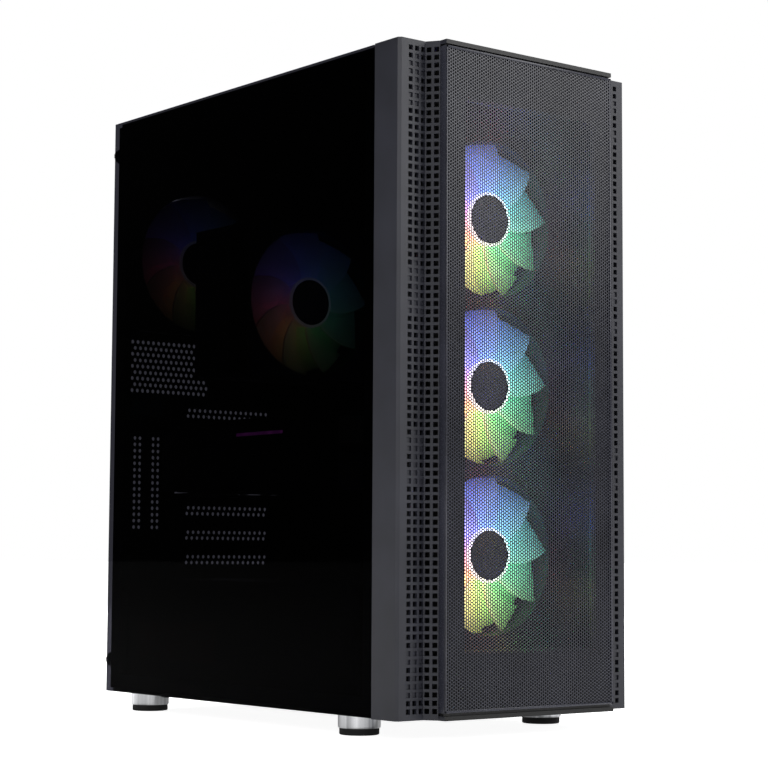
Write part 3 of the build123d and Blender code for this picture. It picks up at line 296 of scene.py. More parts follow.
def lampFilm(name, code, strength):
    # A diffusing strip over lamps: even light, slightly brighter in spots where the lamps sit.
    material, tree = emptyMaterial(name)
    place = addNode(tree, "ShaderNodeTexCoord").outputs["Object"]
    spot = addNode(tree, "ShaderNodeTexNoise", {"Scale": 1 / (7 * mm), "Detail": 1.0}, {"Vector": place})
    power = addNode(
        tree, "ShaderNodeMapRange", {"To Min": 0.6 * strength, "To Max": 1.3 * strength},
        {"Value": spot.outputs["Fac"]},
    ).outputs[0]
    tone = colourRamp(tree, spot.outputs["Fac"], [(0.2, code[0]), (0.8, code[1])])
    shader = addNode(
        tree, "ShaderNodeBsdfPrincipled", {"Roughness": 0.4},
        {"Base Color": tone, "Emission Color": tone, "Emission Strength": power},
    )
    showSurface(tree, shader.outputs[0])
    return material


finishes = {
    # ABS moulded against a spark-eroded tool: dark charcoal, soft even sheen with a fine grain
    "mouldedAbs": grainedFinish("mouldedAbs", {
        "dark": "#1f2027", "light": "#2b2c35", "grainMm": 0.45, "cloudMm": 40, "rough": (0.42, 0.56),
        "bump": 0.35, "bumpMm": 0.05}),
    # the front cover's ABS, a shade lighter outside, and painted near black behind the punched sheet as
    # painted shade
    "coverAbs": grainedFinish("coverAbs", {
        "dark": "#24252d", "light": "#32333d", "grainMm": 0.45, "cloudMm": 40, "rough": (0.36, 0.5),
        "bump": 0.3, "bumpMm": 0.05, "shadedInsideMm": 78.9}),
    # powder coat baked on steel: faint orange peel under a satin sheen
    "powderCoat": grainedFinish("powderCoat", {
        "dark": "#141416", "light": "#1f1f22", "grainMm": 0.8, "cloudMm": 60, "rough": (0.38, 0.5),
        "bump": 0.3, "bumpMm": 0.06}),
    # matt black paint on the sheet behind the punched front, made darker than the powder coat as painted
    # shade
    "shadedInnerPaint": grainedFinish("shadedInnerPaint", {
        "dark": "#050506", "light": "#0a0a0c", "grainMm": 0.8, "cloudMm": 40, "rough": (0.62, 0.78),
        "bump": 0.3, "bumpMm": 0.05}),
    # unfilled black nylon of the front fans' frames
    "frameNylon": grainedFinish("frameNylon", {
        "dark": "#070708", "light": "#0f0f11", "grainMm": 0.5, "cloudMm": 15, "rough": (0.5, 0.66),
        "bump": 0.3, "bumpMm": 0.04}),
    # grey lacquer on the fans' hub caps
    "hubLacquer": grainedFinish("hubLacquer", {
        "dark": "#505158", "light": "#74757c", "grainMm": 0.6, "cloudMm": 6, "rough": (0.35, 0.5),
        "bump": 0.2, "bumpMm": 0.03}),
    # gloss paint on punched steel: small sharp sparkles on the lands between the holes
    "meshPaint": grainedFinish("meshPaint", {
        "dark": "#2b2c35", "light": "#43444f", "grainMm": 0.9, "cloudMm": 50, "rough": (0.2, 0.32),
        "bump": 0.15, "bumpMm": 0.03, "ior": 1.45}),
    # chrome plate on turned rings: a bright mirror, with painted reflections: light and dark bands in its
    # colour that run up its side
    "chromePaintedReflection": brushedFinish("chromePaintedReflection", {
        "dark": "#3c3e44", "light": "#f2f3f5", "lineMm": 11, "stretch": (1, 1, 0.02), "rough": (0.04, 0.12),
        "bump": 0.03}),
    # nitrile rubber: dull black with a dusty bloom
    "nitrileRubber": grainedFinish("nitrileRubber", {
        "dark": "#0e0e0f", "light": "#1c1c1d", "grainMm": 0.6, "cloudMm": 9, "rough": (0.72, 0.9),
        "bump": 0.4, "bumpMm": 0.08}),
    # glass-filled nylon: fan frames and sockets, a little mottled
    "filledNylon": grainedFinish("filledNylon", {
        "dark": "#101012", "light": "#1b1b1e", "grainMm": 0.5, "cloudMm": 15, "rough": (0.45, 0.62),
        "bump": 0.3, "bumpMm": 0.04}),
    # anodised aluminium, bead blasted first: soft metallic black
    "anodisedBlack": grainedFinish("anodisedBlack", {
        "dark": "#17181b", "light": "#26272b", "grainMm": 0.3, "cloudMm": 30, "rough": (0.3, 0.42),
        "bump": 0.25, "bumpMm": 0.02, "metallic": 0.85}),
    # die-cast aluminium of the drive: dull silver with cast mottling
    "castAluminium": grainedFinish("castAluminium", {
        "dark": "#8d8f93", "light": "#a9abaf", "grainMm": 0.7, "cloudMm": 14, "rough": (0.38, 0.55),
        "bump": 0.4, "bumpMm": 0.05, "metallic": 1.0}),
    # turned brass: warm yellow
    "turnedBrass": grainedFinish("turnedBrass", {
        "dark": "#a8843c", "light": "#c9a556", "grainMm": 0.4, "cloudMm": 5, "rough": (0.22, 0.34),
        "bump": 0.1, "bumpMm": 0.02, "metallic": 1.0}),
    # rolled aluminium fins: light silver with rolling lines
    "rolledFin": brushedFinish("rolledFin", {
        "dark": "#a6a9ad", "light": "#c8cbcf", "lineMm": 0.8, "stretch": (1, 0.06, 1), "rough": (0.25, 0.38),
        "bump": 0.2}),
    # nickel plate on copper pipe: warm grey mirror with draw lines
    "nickelPipe": brushedFinish("nickelPipe", {
        "dark": "#a79f96", "light": "#c8c1b8", "lineMm": 0.7, "stretch": (0.08, 1, 1), "rough": (0.14, 0.24),
        "bump": 0.1}),
    # zinc plate on steel sheet: cool grey with faint brushing
    "zincPlate": brushedFinish("zincPlate", {
        "dark": "#8b8e93", "light": "#a9acb1", "lineMm": 0.9, "stretch": (1, 1, 0.1), "rough": (0.28, 0.42),
        "bump": 0.25}),
    # the card's brushed black backplate
    "brushedBlack": brushedFinish("brushedBlack", {
        "dark": "#1c1d20", "light": "#2e2f33", "lineMm": 0.7, "stretch": (1, 0.05, 1), "rough": (0.3, 0.42),
        "bump": 0.3}),
    "temperedGlass": tintedGlass(),
    "solderMask": solderMask(),
    # coloured nylon tongue of a fast data socket
    "blueNylon": grainedFinish("blueNylon", {
        "dark": "#163a7c", "light": "#1f4c9c", "grainMm": 0.5, "cloudMm": 6, "rough": (0.4, 0.52),
        "bump": 0.15, "bumpMm": 0.03}),
    # lacquered paper sticker: warm orange, slightly glossy
    "labelPaper": grainedFinish("labelPaper", {
        "dark": "#a8560e", "light": "#d27a1c", "grainMm": 1.5, "cloudMm": 35, "rough": (0.32, 0.42),
        "bump": 0.05, "bumpMm": 0.02}),
    "memoryLamp": lampFilm("memoryLamp", ("#6a48c8", "#b090ff"), 0.5),
    "cardLamp": lampFilm("cardLamp", ("#a030a0", "#e060d0"), 0.8),
    # nylon filter net: the threads are drawn at 1.6 mm so that they show
    "nylonNet": wovenFinish("nylonNet", {
        "dark": "#050506", "light": "#26262a", "threadMm": 1.6, "scale": 0.32, "bumpMm": 0.3,
        "turn": (0, 0, 0), "directions": ("X", "Y")}),
    # braided polyester sleeve: crossing yarns about 1.2 mm wide
    "braidSleeve": wovenFinish("braidSleeve", {
        "dark": "#08080a", "light": "#2b2b2f", "threadMm": 1.2, "scale": 0.3, "bumpMm": 0.2,
        "turn": (0.6, 0.5, 0.7), "directions": ("X", "Z")}),
}
print("materials made:", len(finishes))

nodeFinish = {
    "coverAbs": ["front_bezel"],
    "mouldedAbs": ["control_block", "power_button", "gpu_shroud", "psu_inlet", "psu_rocker"],
    "powderCoat": ["chassis_base", "chassis_top", "chassis_rear", "motherboard_tray",
                   "psu_shroud", "drive_cage", "glass_frame", "right_side_panel", "psu_case", "slot_covers",
                   "upright_slot_covers"],
    # the front sheet's near black is partly its paint and partly painted shade behind the punched front
    "shadedInnerPaint": ["chassis_front"],
    "meshPaint": ["front_mesh"],
    "chromePaintedReflection": ["foot_rings"],
    "nitrileRubber": ["foot_pads", "grommets"],
    "filledNylon": ["board_sockets", "gpu_rotor_1", "gpu_rotor_2", "psu_rotor", "rear_fan_frame",
                    "cooler_fan_frame"],
    "frameNylon": ["front_fan_1_frame", "front_fan_2_frame", "front_fan_3_frame"],
    "anodisedBlack": ["glass_thumbscrews", "right_thumbscrews", "solid_state_drive", "ram_modules",
                      "vrm_heatsinks"],
    "brushedBlack": ["gpu_backplate", "rear_socket_block"],
    "castAluminium": ["hard_drive"],
    "turnedBrass": ["standoffs"],
    "rolledFin": ["cooler_fins", "gpu_heatsink", "cooler_base"],
    "nickelPipe": ["cooler_heatpipes"],
    "zincPlate": ["gpu_bracket", "psu_guard", "slot_clamp"],
    "temperedGlass": ["glass_pane"],
    "solderMask": ["motherboard", "gpu_board"],
    "nylonNet": ["top_dust_filter", "psu_dust_filter"],
    "braidSleeve": ["board_cable", "card_cable"],
}


def paint(obj, material):
    obj.data.materials.clear()
    obj.data.materials.append(material)


for finish, names in nodeFinish.items():
    for name in names:
        paint(nodes[name], finishes[finish])
paint(nodes["light_button"], lampFilm("buttonLamp", ("#d8e8ff", "#f4f8ff"), 1.2))
print("nodes painted")

# Modelling helpers.


def deselectAll():
    bpy.ops.object.select_all(action="DESELECT")


def settle(obj):
    # Puts the object's own place into its mesh, so that it sits at the origin.
    deselectAll()
    obj.select_set(True)
    bpy.context.view_layer.objects.active = obj
    bpy.ops.object.transform_apply(location=True, rotation=True, scale=True)
    return obj


def finishMod(obj, kind, **settings):
    modifier = obj.modifiers.new(kind.title(), kind)
    for name, value in settings.items():
        setattr(modifier, name, value)
    deselectAll()
    obj.select_set(True)
    bpy.context.view_layer.objects.active = obj
    bpy.ops.object.modifier_apply(modifier=modifier.name)


def joinAll(pieces, name):
    deselectAll()
    for piece in pieces:
        piece.select_set(True)
    bpy.context.view_layer.objects.active = pieces[0]
    if len(pieces) > 1:
        bpy.ops.object.join()
    whole = bpy.context.view_layer.objects.active
    whole.name = name
    whole.data.name = name
    return whole


def bevelledBox(name, low, high, width, segments=2):
    deselectAll()
    middle = [(a + b) / 2 for a, b in zip(low, high)]
    bpy.ops.mesh.primitive_cube_add(size=1, location=middle)
    block = bpy.context.active_object
    block.scale = [b - a for a, b in zip(low, high)]
    block.name = name
    settle(block)
    finishMod(block, "BEVEL", width=width, segments=segments, limit_method="ANGLE")
    return block


def bevelledDisc(name, centre, radius, depth, width, turn=(0, 0, 0), sides=32, segments=2):
    deselectAll()
    bpy.ops.mesh.primitive_cylinder_add(
        vertices=sides, radius=radius, depth=depth, location=centre, rotation=turn)
    disc = bpy.context.active_object
    disc.name = name
    settle(disc)
    finishMod(disc, "BEVEL", width=width, segments=segments, limit_method="ANGLE")
    return disc


def smoothByAngle(obj, degrees=35):
    deselectAll()
    obj.select_set(True)
    bpy.context.view_layer.objects.active = obj
    bpy.ops.object.shade_smooth_by_angle(angle=math.radians(degrees))


def ringPiece(name, centre, outer, inner, depth, turn, sides=32):
    # A flat washer: both ends are inset and joined through the middle.
    deselectAll()
    bpy.ops.mesh.primitive_cylinder_add(
        vertices=sides, radius=outer, depth=depth, location=centre, rotation=turn)
    ring = settle(bpy.context.active_object)
    axis = (Matrix.Rotation(turn[0], 3, "X") @ Vector((0, 0, 1))).normalized()
    bpy.ops.object.mode_set(mode="EDIT")
    mesh = bmesh.from_edit_mesh(ring.data)
    for face in mesh.faces:
        face.select = abs(face.normal.dot(axis)) > 0.9
    bmesh.update_edit_mesh(ring.data)
    bpy.ops.mesh.inset(thickness=outer - inner)
    bpy.ops.mesh.bridge_edge_loops()
    bpy.ops.object.mode_set(mode="OBJECT")
    finishMod(ring, "BEVEL", width=min(0.4 * mm, depth / 4), segments=2, limit_method="ANGLE")
    ring.name = name
    smoothByAngle(ring)
    return ring


def place(obj, body, material):
    paint(obj, material)
    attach(obj, body)
    return obj


facingFront = (math.radians(90), 0, 0)
facingSide = (0, math.radians(90), 0)

# Punched front sheet.

punched = {
    "pitch": 2.3 * mm,      # hole to hole, in a triangular lattice
    "land": 0.28 * mm,      # steel left between a hole and the edge of its cell
    "thick": 0.6 * mm,
    "border": 0.9 * mm,     # unpunched band round the sheet
    "bands": 3,             # the sheet is made in this many pieces, one above the other
    "edge": 0.35 * mm,
}


def holeCell(x, z, y):
    deselectAll()
    bpy.ops.mesh.primitive_circle_add(
        vertices=6, radius=punched["pitch"] / math.sqrt(3), fill_type="NGON", location=(x, y, z),
        rotation=(math.radians(90), math.radians(30), 0))
    cell = settle(bpy.context.active_object)
    bpy.ops.object.mode_set(mode="EDIT")
    bpy.ops.mesh.select_all(action="SELECT")
    bpy.ops.mesh.inset(thickness=punched["land"])
    bpy.ops.transform.rotate(value=math.radians(30), orient_axis="Y", center_override=(x, y, z))
    bpy.ops.mesh.delete(type="FACE")
    bpy.ops.object.mode_set(mode="OBJECT")
    return cell


def punchedSheets():
    low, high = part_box("front_mesh")
    pitch = punched["pitch"]
    column = pitch * math.sqrt(3) / 2
    border = punched["border"]
    innerWidth = high.x - low.x - 2 * border
    innerHeight = high.z - low.z - 2 * border
    pairs = int(innerWidth / (2 * column))
    rows = int(innerHeight / pitch)
    x0 = (low.x + high.x) / 2 - pairs * column + column / 2
    z0 = (low.z + high.z) / 2 - rows * pitch / 2 + pitch / 4
    y = low.y + 0.2 * mm
    sheets = []
    done = 0
    for band in range(punched["bands"]):
        count = rows // punched["bands"] if band < punched["bands"] - 1 else rows - done
        start = z0 + done * pitch
        first = holeCell(x0, start, y)
        second = holeCell(x0 + column, start + pitch / 2, y)
        sheet = joinAll([first, second], f"punchedSheet{band + 1}")
        finishMod(sheet, "ARRAY", count=pairs, use_relative_offset=False, use_constant_offset=True,
                  constant_offset_displace=(2 * column, 0, 0))
        finishMod(sheet, "ARRAY", count=count, use_relative_offset=False, use_constant_offset=True,
                  constant_offset_displace=(0, 0, pitch))
        finishMod(sheet, "WELD", merge_threshold=pitch / 50)
        finishMod(sheet, "SOLIDIFY", thickness=punched["thick"], offset=-1)
        done += count
        sheets.append(sheet)
    print("punched cells:", pairs * 2 * rows)
    return sheets


def punchedRim():
    # The folded edge: a flat border in front and two solid returns at the sides.
    low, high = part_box("front_mesh")
    band = punched["border"] + 0.9 * mm
    edge = punched["edge"]
    pieces = []
    for x0, x1 in ((low.x, low.x + 1.0 * mm), (high.x - 1.0 * mm, high.x)):
        pieces.append(bevelledBox("fold", (x0, low.y, low.z), (x1, high.y, high.z), edge))
    for x0, x1 in ((low.x, low.x + band), (high.x - band, high.x)):
        pieces.append(bevelledBox("band", (x0, low.y, low.z), (x1, low.y + 0.9 * mm, high.z), edge))
    for z0, z1 in ((low.z, low.z + band), (high.z - band, high.z)):
        pieces.append(bevelledBox("band", (low.x, low.y, z0), (high.x, low.y + 0.9 * mm, z1), edge))
    rim = joinAll(pieces, "punchedRim")
    smoothByAngle(rim)
    return rim


for sheet in punchedSheets() + [punchedRim()]:
    place(sheet, "front_panel", finishes["meshPaint"])
    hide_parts("front_mesh")
print("front sheet made")

# Fans.

fans = {
    "bodies": ["front_fan_1", "front_fan_2", "front_fan_3", "rear_fan", "cooler_fan"],
    "hub": 18 * mm, "ring": 1.7 * mm, "proud": 0.5 * mm,
    "haze": {"outer": 53 * mm, "back": 0.8 * mm, "thick": 0.8 * mm, "share": 0.75},
    "power": {
        "front_fan_1": 1.0, "front_fan_2": 1.0, "front_fan_3": 1.0, "rear_fan": 0.07, "cooler_fan": 0.14},
}


def fanCentre(body):
    low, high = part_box(body + "_rotor")
    return Vector(((low.x + high.x) / 2, low.y, (low.z + high.z) / 2))


def hubRing(body):
    # The diffuser round the hub, over its ring of lamps.
    centre = fanCentre(body) + Vector((0, 1.1 * mm - fans["proud"], 0))
    return ringPiece(
        body + "HubRing", centre, fans["hub"] + fans["ring"], fans["hub"] - 0.6 * mm, 2.2 * mm,
        facingFront, 64)


def bladeHaze(body):
    # A milky disc behind the blades, which stands for the light that they smear as they turn.
    centre = fanCentre(body)
    centre.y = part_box(body + "_rotor")[1].y - fans["haze"]["back"]
    return ringPiece(
        body + "Haze", centre, fans["haze"]["outer"], fans["hub"] - 1 * mm, fans["haze"]["thick"],
        facingFront, 64)


def hubCap(body):
    # A thin cap on the hub, a disc with bevelled edges.
    centre = fanCentre(body)
    cap = bevelledDisc(
        body + "HubCap", centre + Vector((0, -0.1 * mm, 0)), fans["hub"] - 1.4 * mm, 0.6 * mm, 0.25 * mm,
        turn=facingFront, sides=48)
    smoothByAngle(cap)
    return cap


for body in fans["bodies"]:
    middle = fanCentre(body)
    power = fans["power"][body]
    paint(nodes[body + "_rotor"], litBlades(body + "Polycarbonate", middle, power))
    place(hubRing(body), body, litBlades(body + "Diffuser", middle, 1.5 * power, 0.65))
    place(bladeHaze(body), body, litBlades(body + "HazeFilm", middle, fans["haze"]["share"] * power))
    place(hubCap(body), body, finishes["hubLacquer"])
print("fans lit")

# Small pieces on the case.


def panScrew(name, centre, turn, radius):
    # A domed head; its cross is drawn on its face as dark bars, painted shade for the recess.
    head = bevelledDisc(name, centre, radius, 1.6 * mm, 0.5 * mm, turn=turn, sides=20)
    smoothByAngle(head)
    return head


def screwCross(name, centre, radius):
    # The driver's cross, drawn as two thin dark bars on the head's face: painted shade for the recess.
    bars = []
    for wide, tall in ((radius, 0.28 * radius), (0.28 * radius, radius)):
        low = centre + Vector((-wide / 2, 0, -tall / 2))
        high = centre + Vector((wide / 2, 0.12 * mm, tall / 2))
        bars.append(bevelledBox("bar", low, high, 0.04 * mm, 1))
    return joinAll(bars, name)


rearScrews = {
    "head": 3.2 * mm, "square": 52.5 * mm, "inset": 6 * mm, "aside": 1 * mm, "headOut": 0.7 * mm,
    "crossOut": 1.45 * mm, "cross": 4.16 * mm,
}


def addRearScrews():
    # Four screws hold the rear fan, and four the power supply.
    low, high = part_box("rear_fan_frame")
    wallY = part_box("chassis_rear")[1].y
    middle = (low + high) / 2
    spots = [(middle.x + dx * rearScrews["square"], middle.z + dz * rearScrews["square"])
             for dx in (-1, 1) for dz in (-1, 1)]
    low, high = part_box("psu_case")
    inset, aside = rearScrews["inset"], rearScrews["aside"]
    spots += [(x, z) for x in (low.x - aside, high.x + aside) for z in (low.z + inset, high.z - inset)]
    heads, crosses = [], []
    for x, z in spots:
        centre = Vector((x, wallY + rearScrews["headOut"], z))
        heads.append(panScrew("rearScrew", centre, facingFront, rearScrews["head"]))
        face = Vector((x, wallY + rearScrews["crossOut"], z))
        crosses.append(screwCross("rearCross", face, rearScrews["cross"]))
    place(joinAll(heads, "rearScrewHeads"), "case", finishes["anodisedBlack"])
    # the crosses take the dull black rubber finish as painted shade in the recess
    place(joinAll(crosses, "rearScrewCrossShades"), "case", finishes["nitrileRubber"])


addRearScrews()

controls = {
    "usb": (-6 * mm, 14 * mm), "audio": (30 * mm, 40 * mm), "tongue": (11 * mm, 1.8 * mm, 9 * mm),
    "sunk": 11.6 * mm, "rim": (2.9 * mm, 1.85 * mm, 0.5 * mm), "rimDown": 0.35 * mm,
}
shadeSheet = {"x": 74.6 * mm, "thick": 0.4 * mm, "y": (-192.4 * mm, -157 * mm), "inset": 7 * mm}


def addSideShadeSheets():
    # A black film hangs behind the cover's slanted sides as painted shade, so that their small openings stay
    # dark.
    low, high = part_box("front_bezel")
    films = []
    for x in (-shadeSheet["x"], shadeSheet["x"] - shadeSheet["thick"]):
        films.append(bevelledBox(
            "film", (x, shadeSheet["y"][0], low.z + shadeSheet["inset"]),
            (x + shadeSheet["thick"], shadeSheet["y"][1], high.z - shadeSheet["inset"]), 0.1 * mm, 1))
    # the sheets take the dull black rubber finish as painted shade behind the openings
    place(joinAll(films, "sideShadeSheets"), "front_panel", finishes["nitrileRubber"])


addSideShadeSheets()

aperture = {"x": (32.55 * mm, 77 * mm), "z": (249.85 * mm, 408.6 * mm), "lap": 1 * mm, "thick": 0.4 * mm}


def addSocketPlate():
    # A thin plate closes the gap between the socket block and the edges of its opening.
    low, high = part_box("rear_socket_block")
    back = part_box("chassis_rear")[1].y - 1.1 * mm
    x0, x1 = aperture["x"][0] - aperture["lap"], aperture["x"][1] + aperture["lap"]
    z0, z1 = aperture["z"][0] - aperture["lap"], aperture["z"][1] + aperture["lap"]
    strips = []
    for left, bottom, right, top in (
            (x0, z0, low.x, z1), (high.x, z0, x1, z1), (low.x, z0, high.x, low.z),
            (low.x, high.z, high.x, z1)):
        if right - left > 0.5 * mm and top - bottom > 0.5 * mm:
            strips.append(bevelledBox(
                "strip", (left, back - aperture["thick"], bottom), (right, back, top), 0.1 * mm, 1))
    place(joinAll(strips, "socketPlate"), "case", finishes["brushedBlack"])


addSocketPlate()


def addTopSockets():
    low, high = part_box("control_block")
    y, top = (low.y + high.y) / 2, high.z
    wide, thick, deep = controls["tongue"]
    tongues = []
    for x in controls["usb"]:
        tongues.append(bevelledBox(
            "tongue", (x - wide / 2, y + 0.4 * mm, top - controls["sunk"]),
            (x + wide / 2, y + 0.4 * mm + thick, top - controls["sunk"] + deep), 0.2 * mm))
    place(joinAll(tongues, "topUsbTongues"), "case", finishes["blueNylon"])
    rims = [ringPiece("rim", (x, y, top - controls["rimDown"]), *controls["rim"], (0, 0, 0))
            for x in controls["audio"]]
    place(joinAll(rims, "topAudioRims"), "case", finishes["nickelPipe"])


addTopSockets()


rearSockets = {
    "usbFirst": 34, "usbPitch": 17, "usbCount": 4, "audioFirst": 10, "audioPitch": 14, "audioCount": 3,
    "rim": (3.4 * mm, 1.85 * mm, 0.5 * mm), "cardX": (-28 * mm, -4 * mm, 20 * mm), "cardUp": 12 * mm,
    "core": (6.5 * mm, 1.4 * mm),
}


def addRearSockets():
    # The rear block's data and sound sockets, and the card's picture sockets.
    low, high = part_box("rear_socket_block")
    tongues = []
    for rank in range(rearSockets["usbCount"]):
        z = low.z + (rearSockets["usbFirst"] + rearSockets["usbPitch"] * rank) * mm
        tongues.append(bevelledBox(
            "tongue", (low.x + 9.4 * mm, high.y - 11.6 * mm, z + 1.4 * mm),
            (low.x + 11.2 * mm, high.y - 2.5 * mm, z + 11.6 * mm), 0.2 * mm))
    place(joinAll(tongues, "rearUsbTongues"), "case", finishes["blueNylon"])
    rims = []
    for rank in range(rearSockets["audioCount"]):
        drop = (rearSockets["audioFirst"] + rearSockets["audioPitch"] * rank) * mm
        centre = (low.x + 19 * mm, high.y + 0.15 * mm, high.z - drop)
        rims.append(ringPiece("rim", centre, *rearSockets["rim"], facingFront))
    place(joinAll(rims, "rearAudioRims"), "case", finishes["nickelPipe"])
    low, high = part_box("gpu_bracket")
    middle = (low.z + high.z) / 2 + rearSockets["cardUp"]
    halfWide, halfTall = rearSockets["core"]
    cores = [bevelledBox("core", (x - halfWide, low.y - 6 * mm, middle - halfTall),
                         (x + halfWide, high.y - 0.4 * mm, middle + halfTall), 0.3 * mm)
             for x in rearSockets["cardX"]]
    place(joinAll(cores, "cardSocketCores"), "case", finishes["filledNylon"])


addRearSockets()

mains = {
    "middle": (34 * mm, 45 * mm), "pin": (2 * mm, 3.9 * mm),
    "spots": ((-7 * mm, 1.5 * mm), (0, -2.5 * mm), (7 * mm, 1.5 * mm)),
}


def addMainsPins():
    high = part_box("psu_inlet")[1]
    x, z = mains["middle"]
    width, height = mains["pin"]
    pins = [bevelledBox("pin", (x + dx - width / 2, high.y - 16.8 * mm, z + dz - height / 2),
                        (x + dx + width / 2, high.y - 4 * mm, z + dz + height / 2), 0.4 * mm)
            for dx, dz in mains["spots"]]
    place(joinAll(pins, "mainsPins"), "case", finishes["nickelPipe"])


addMainsPins()

label = {"y": (50 * mm, 170 * mm), "z": (41 * mm, 71 * mm), "thick": 0.3 * mm}


def addSupplyLabel():
    # A plain coloured sticker on the power supply, seen through the shroud's window.
    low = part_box("psu_case")[0]
    sticker = bevelledBox(
        "supplyLabel", (low.x - label["thick"], label["y"][0], label["z"][0]),
        (low.x + 0.05 * mm, label["y"][1], label["z"][1]), 0.1 * mm)
    place(sticker, "case", finishes["labelPaper"])


addSupplyLabel()
print("case pieces made")

# On the boards.

boardParts = {
    "cans": [
        (-20, 330), (-31, 330), (-42, 330), (20, 140), (31, 140), (150, 240), (150, 228), (-40, 130)],
    "can": {"radius": 3.2 * mm, "tall": 9 * mm, "bevel": 0.5 * mm},
    "chips": [(-20, 165, 22), (60, 150, 14), (120, 128, 9), (5, 250, 10), (160, 150, 8)],
    "chipTall": 1.6 * mm,
    "battery": {"at": (80 * mm, 160 * mm), "radius": 10 * mm, "tall": 3.2 * mm, "lift": 2.4 * mm},
    "spreader": {"tall": 7 * mm, "y": (20 * mm, 104 * mm), "z": (246 * mm, 258 * mm)},
}


def addBoardParts():
    # Capacitor cans, chips, a battery and plain heat spreaders stand on the board.
    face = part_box("motherboard")[1].x - 1.6 * mm
    can, battery, spreader = boardParts["can"], boardParts["battery"], boardParts["spreader"]
    cans = []
    for y, z in boardParts["cans"]:
        cans.append(bevelledDisc(
            "can", (face - can["tall"] / 2, y * mm, z * mm), can["radius"], can["tall"], can["bevel"],
            turn=facingSide, sides=20))
    whole = joinAll(cans, "boardCapacitors")
    smoothByAngle(whole)
    place(whole, "case", finishes["anodisedBlack"])
    chips = []
    for y, z, size in boardParts["chips"]:
        chips.append(bevelledBox(
            "chip", (face - boardParts["chipTall"], (y - size / 2) * mm, (z - size / 2) * mm),
            (face, (y + size / 2) * mm, (z + size / 2) * mm), 0.25 * mm))
    place(joinAll(chips, "boardChips"), "case", finishes["filledNylon"])
    cell = bevelledDisc(
        "boardBattery", (face - battery["lift"], *battery["at"]), battery["radius"], battery["tall"],
        0.6 * mm, turn=facingSide)
    smoothByAngle(cell)
    place(cell, "case", finishes["zincPlate"])
    bar = bevelledBox(
        "boardSpreader", (face - spreader["tall"], spreader["y"][0], spreader["z"][0]),
        (face, spreader["y"][1], spreader["z"][1]), 1.0 * mm, 3)
    place(bar, "case", finishes["anodisedBlack"])


addBoardParts()


def addMemoryLights():
    # A frosted strip along the free edge of each memory module.
    low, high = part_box("ram_modules")
    strips = []
    for y in (low.y + 3.6 * mm, high.y - 3.6 * mm):
        strips.append(bevelledBox(
            "strip", (low.x - 0.9 * mm, y - 2.2 * mm, low.z + 4 * mm),
            (low.x + 0.4 * mm, y + 2.2 * mm, high.z - 4 * mm), 0.5 * mm))
    place(joinAll(strips, "memoryLights"), "case", finishes["memoryLamp"])


addMemoryLights()


def addCardLight():
    # A thin lit line along the card's outer edge.
    low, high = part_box("gpu_shroud")
    strip = bevelledBox(
        "cardLight", (low.x - 0.5 * mm, low.y + 70 * mm, high.z - 9 * mm),
        (low.x + 0.4 * mm, low.y + 132 * mm, high.z - 6.5 * mm), 0.3 * mm)
    place(strip, "case", finishes["cardLamp"])


addCardLight()

plug = {
    "deep": 6 * mm, "y": (-57.5 * mm, -47.5 * mm), "z": (264 * mm, 311 * mm),
    "ribs": 11, "ribFirst": 267, "ribPitch": 4, "ribTall": 1.6 * mm, "ribOut": 0.6 * mm,
}


def addBoardPlug():
    # The wide plug at the end of the board's cable, with ribs on its sides.
    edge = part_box("board_sockets")[0].x
    (y0, y1), (z0, z1) = plug["y"], plug["z"]
    pieces = [bevelledBox("plug", (edge - plug["deep"], y0, z0), (edge, y1, z1), 0.6 * mm)]
    for rank in range(plug["ribs"]):
        z = (plug["ribFirst"] + plug["ribPitch"] * rank) * mm
        pieces.append(bevelledBox(
            "rib", (edge - 5 * mm, y0 - plug["ribOut"], z),
            (edge - 0.5 * mm, y1 + plug["ribOut"], z + plug["ribTall"]), 0.3 * mm, 1))
    place(joinAll(pieces, "boardPlug"), "case", finishes["filledNylon"])


addBoardPlug()
print("board pieces made")

# Studio.

studio = {
    "place": (-0.966, -1.2422, 0.1236),
    "turn": (94.827, -0.309, -38.616),
    "lens": 95.44,
    "floor": 60.0,
    "worldLight": 0.3,
    "worldGloss": 0.1,
    "lamps": (
        # name, place, size, power, target
        ("frontSoftbox", (1.8, -2.4, 1.5), 1.5, 29, (0, -0.2, 0.3)),
        ("cornerSoftbox", (-2.3, -1.9, 1.3), 0.8, 14, (0, -0.2, 0.25)),
        ("topSoftbox", (0.3, 0.2, 2.8), 2.4, 50, (0, 0, 0.2)),
        ("backSoftbox", (1.6, 2.4, 1.6), 1.6, 34, (0, 0, 0.25)),
    ),
}


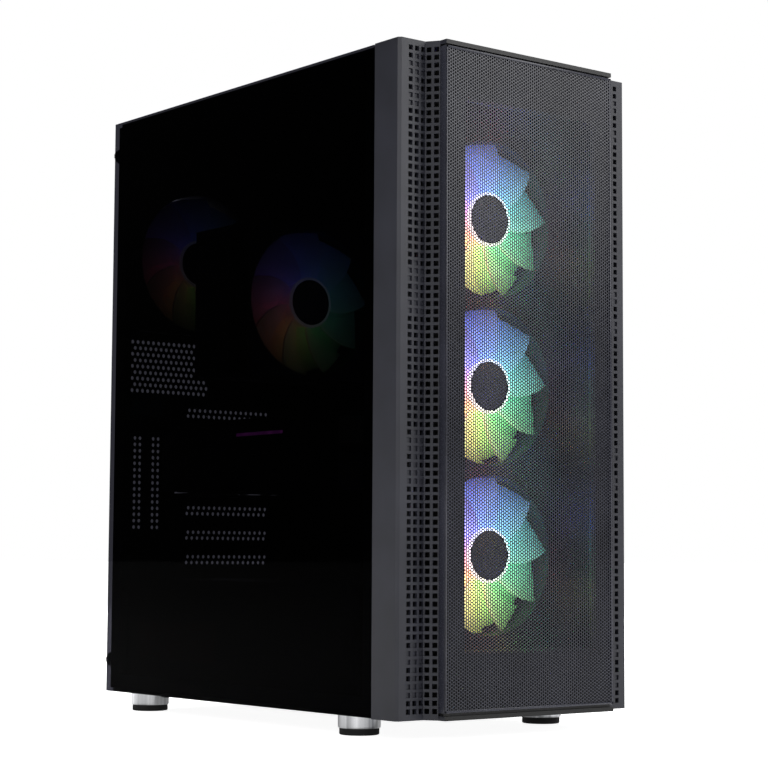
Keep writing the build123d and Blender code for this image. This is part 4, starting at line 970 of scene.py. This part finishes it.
def paleFloor():
    # White seamless paper: a little self-lit, so that it fades to plain white away from the object.
    material, tree = emptyMaterial("seamlessPaper")
    place = addNode(tree, "ShaderNodeTexCoord").outputs["Object"]
    fibre = addNode(tree, "ShaderNodeTexNoise", {"Scale": 1 / (4 * mm), "Detail": 2.0}, {"Vector": place})
    colour = colourRamp(tree, fibre.outputs["Fac"], [(0.3, "#ededed"), (0.7, "#f4f4f4")])
    distance = addNode(
        tree, "ShaderNodeVectorMath", links={0: place}, operation="LENGTH").outputs["Value"]
    level = addNode(
        tree, "ShaderNodeMapRange", {"From Min": 0.3, "From Max": 2.2, "To Min": 0.93, "To Max": 1.0},
        {"Value": distance},
    ).outputs[0]
    rays = addNode(tree, "ShaderNodeLightPath")
    seen = addNode(
        tree, "ShaderNodeMapRange", {"To Min": 0.08, "To Max": 1.0},
        {"Value": rays.outputs["Is Camera Ray"]},
    ).outputs[0]
    share = addNode(
        tree, "ShaderNodeMath", {1: 0.3}, {0: rays.outputs["Is Glossy Ray"], 2: seen},
        operation="MULTIPLY_ADD",
    ).outputs[0]
    power = addNode(tree, "ShaderNodeMath", links={0: level, 1: share}, operation="MULTIPLY").outputs[0]
    shader = addNode(
        tree, "ShaderNodeBsdfPrincipled", {"Roughness": 0.7, "Emission Color": toLinear("#ffffff")},
        {"Base Color": colour, "Emission Strength": power},
    )
    showSurface(tree, shader.outputs[0])
    return material


def buildStudio():
    scene = bpy.context.scene
    camera = bpy.data.objects.new("camera", bpy.data.cameras.new("camera"))
    scene.collection.objects.link(camera)
    camera.location = studio["place"]
    camera.rotation_euler = [math.radians(a) for a in studio["turn"]]
    camera.data.lens = studio["lens"]
    camera.data.sensor_width = 36
    camera.data.clip_end = 90
    scene.camera = camera
    deselectAll()
    bpy.ops.mesh.primitive_plane_add(size=studio["floor"], location=(0, 0, 0))
    floor = bpy.context.active_object
    floor.name = "studioFloor"
    paint(floor, paleFloor())
    for name, spot, size, power, target in studio["lamps"]:
        data = bpy.data.lights.new(name, "AREA")
        data.shape = "SQUARE"
        data.size = size
        data.energy = power
        lamp = bpy.data.objects.new(name, data)
        lamp.location = spot
        lamp.rotation_euler = (Vector(target) - Vector(spot)).to_track_quat("-Z", "Y").to_euler()
        scene.collection.objects.link(lamp)
    world = bpy.data.worlds.new("studioWorld")
    scene.world = world
    world.use_nodes = True
    tree = world.node_tree
    tree.nodes.clear()
    rays = addNode(tree, "ShaderNodeLightPath")
    soft, dim, pale = [
        addNode(
            tree, "ShaderNodeBackground", {"Color": toLinear("#ffffff"), "Strength": strength}).outputs[0]
        for strength in (studio["worldLight"], studio["worldGloss"], 1.0)
    ]
    first = addNode(
        tree, "ShaderNodeMixShader", links={0: rays.outputs["Is Glossy Ray"], 1: soft, 2: dim}).outputs[0]
    both = addNode(
        tree, "ShaderNodeMixShader", links={0: rays.outputs["Is Camera Ray"], 1: first, 2: pale})
    addNode(tree, "ShaderNodeOutputWorld", links={"Surface": both.outputs[0]})
    scene.view_settings.view_transform = "Standard"


buildStudio()
print("studio built")
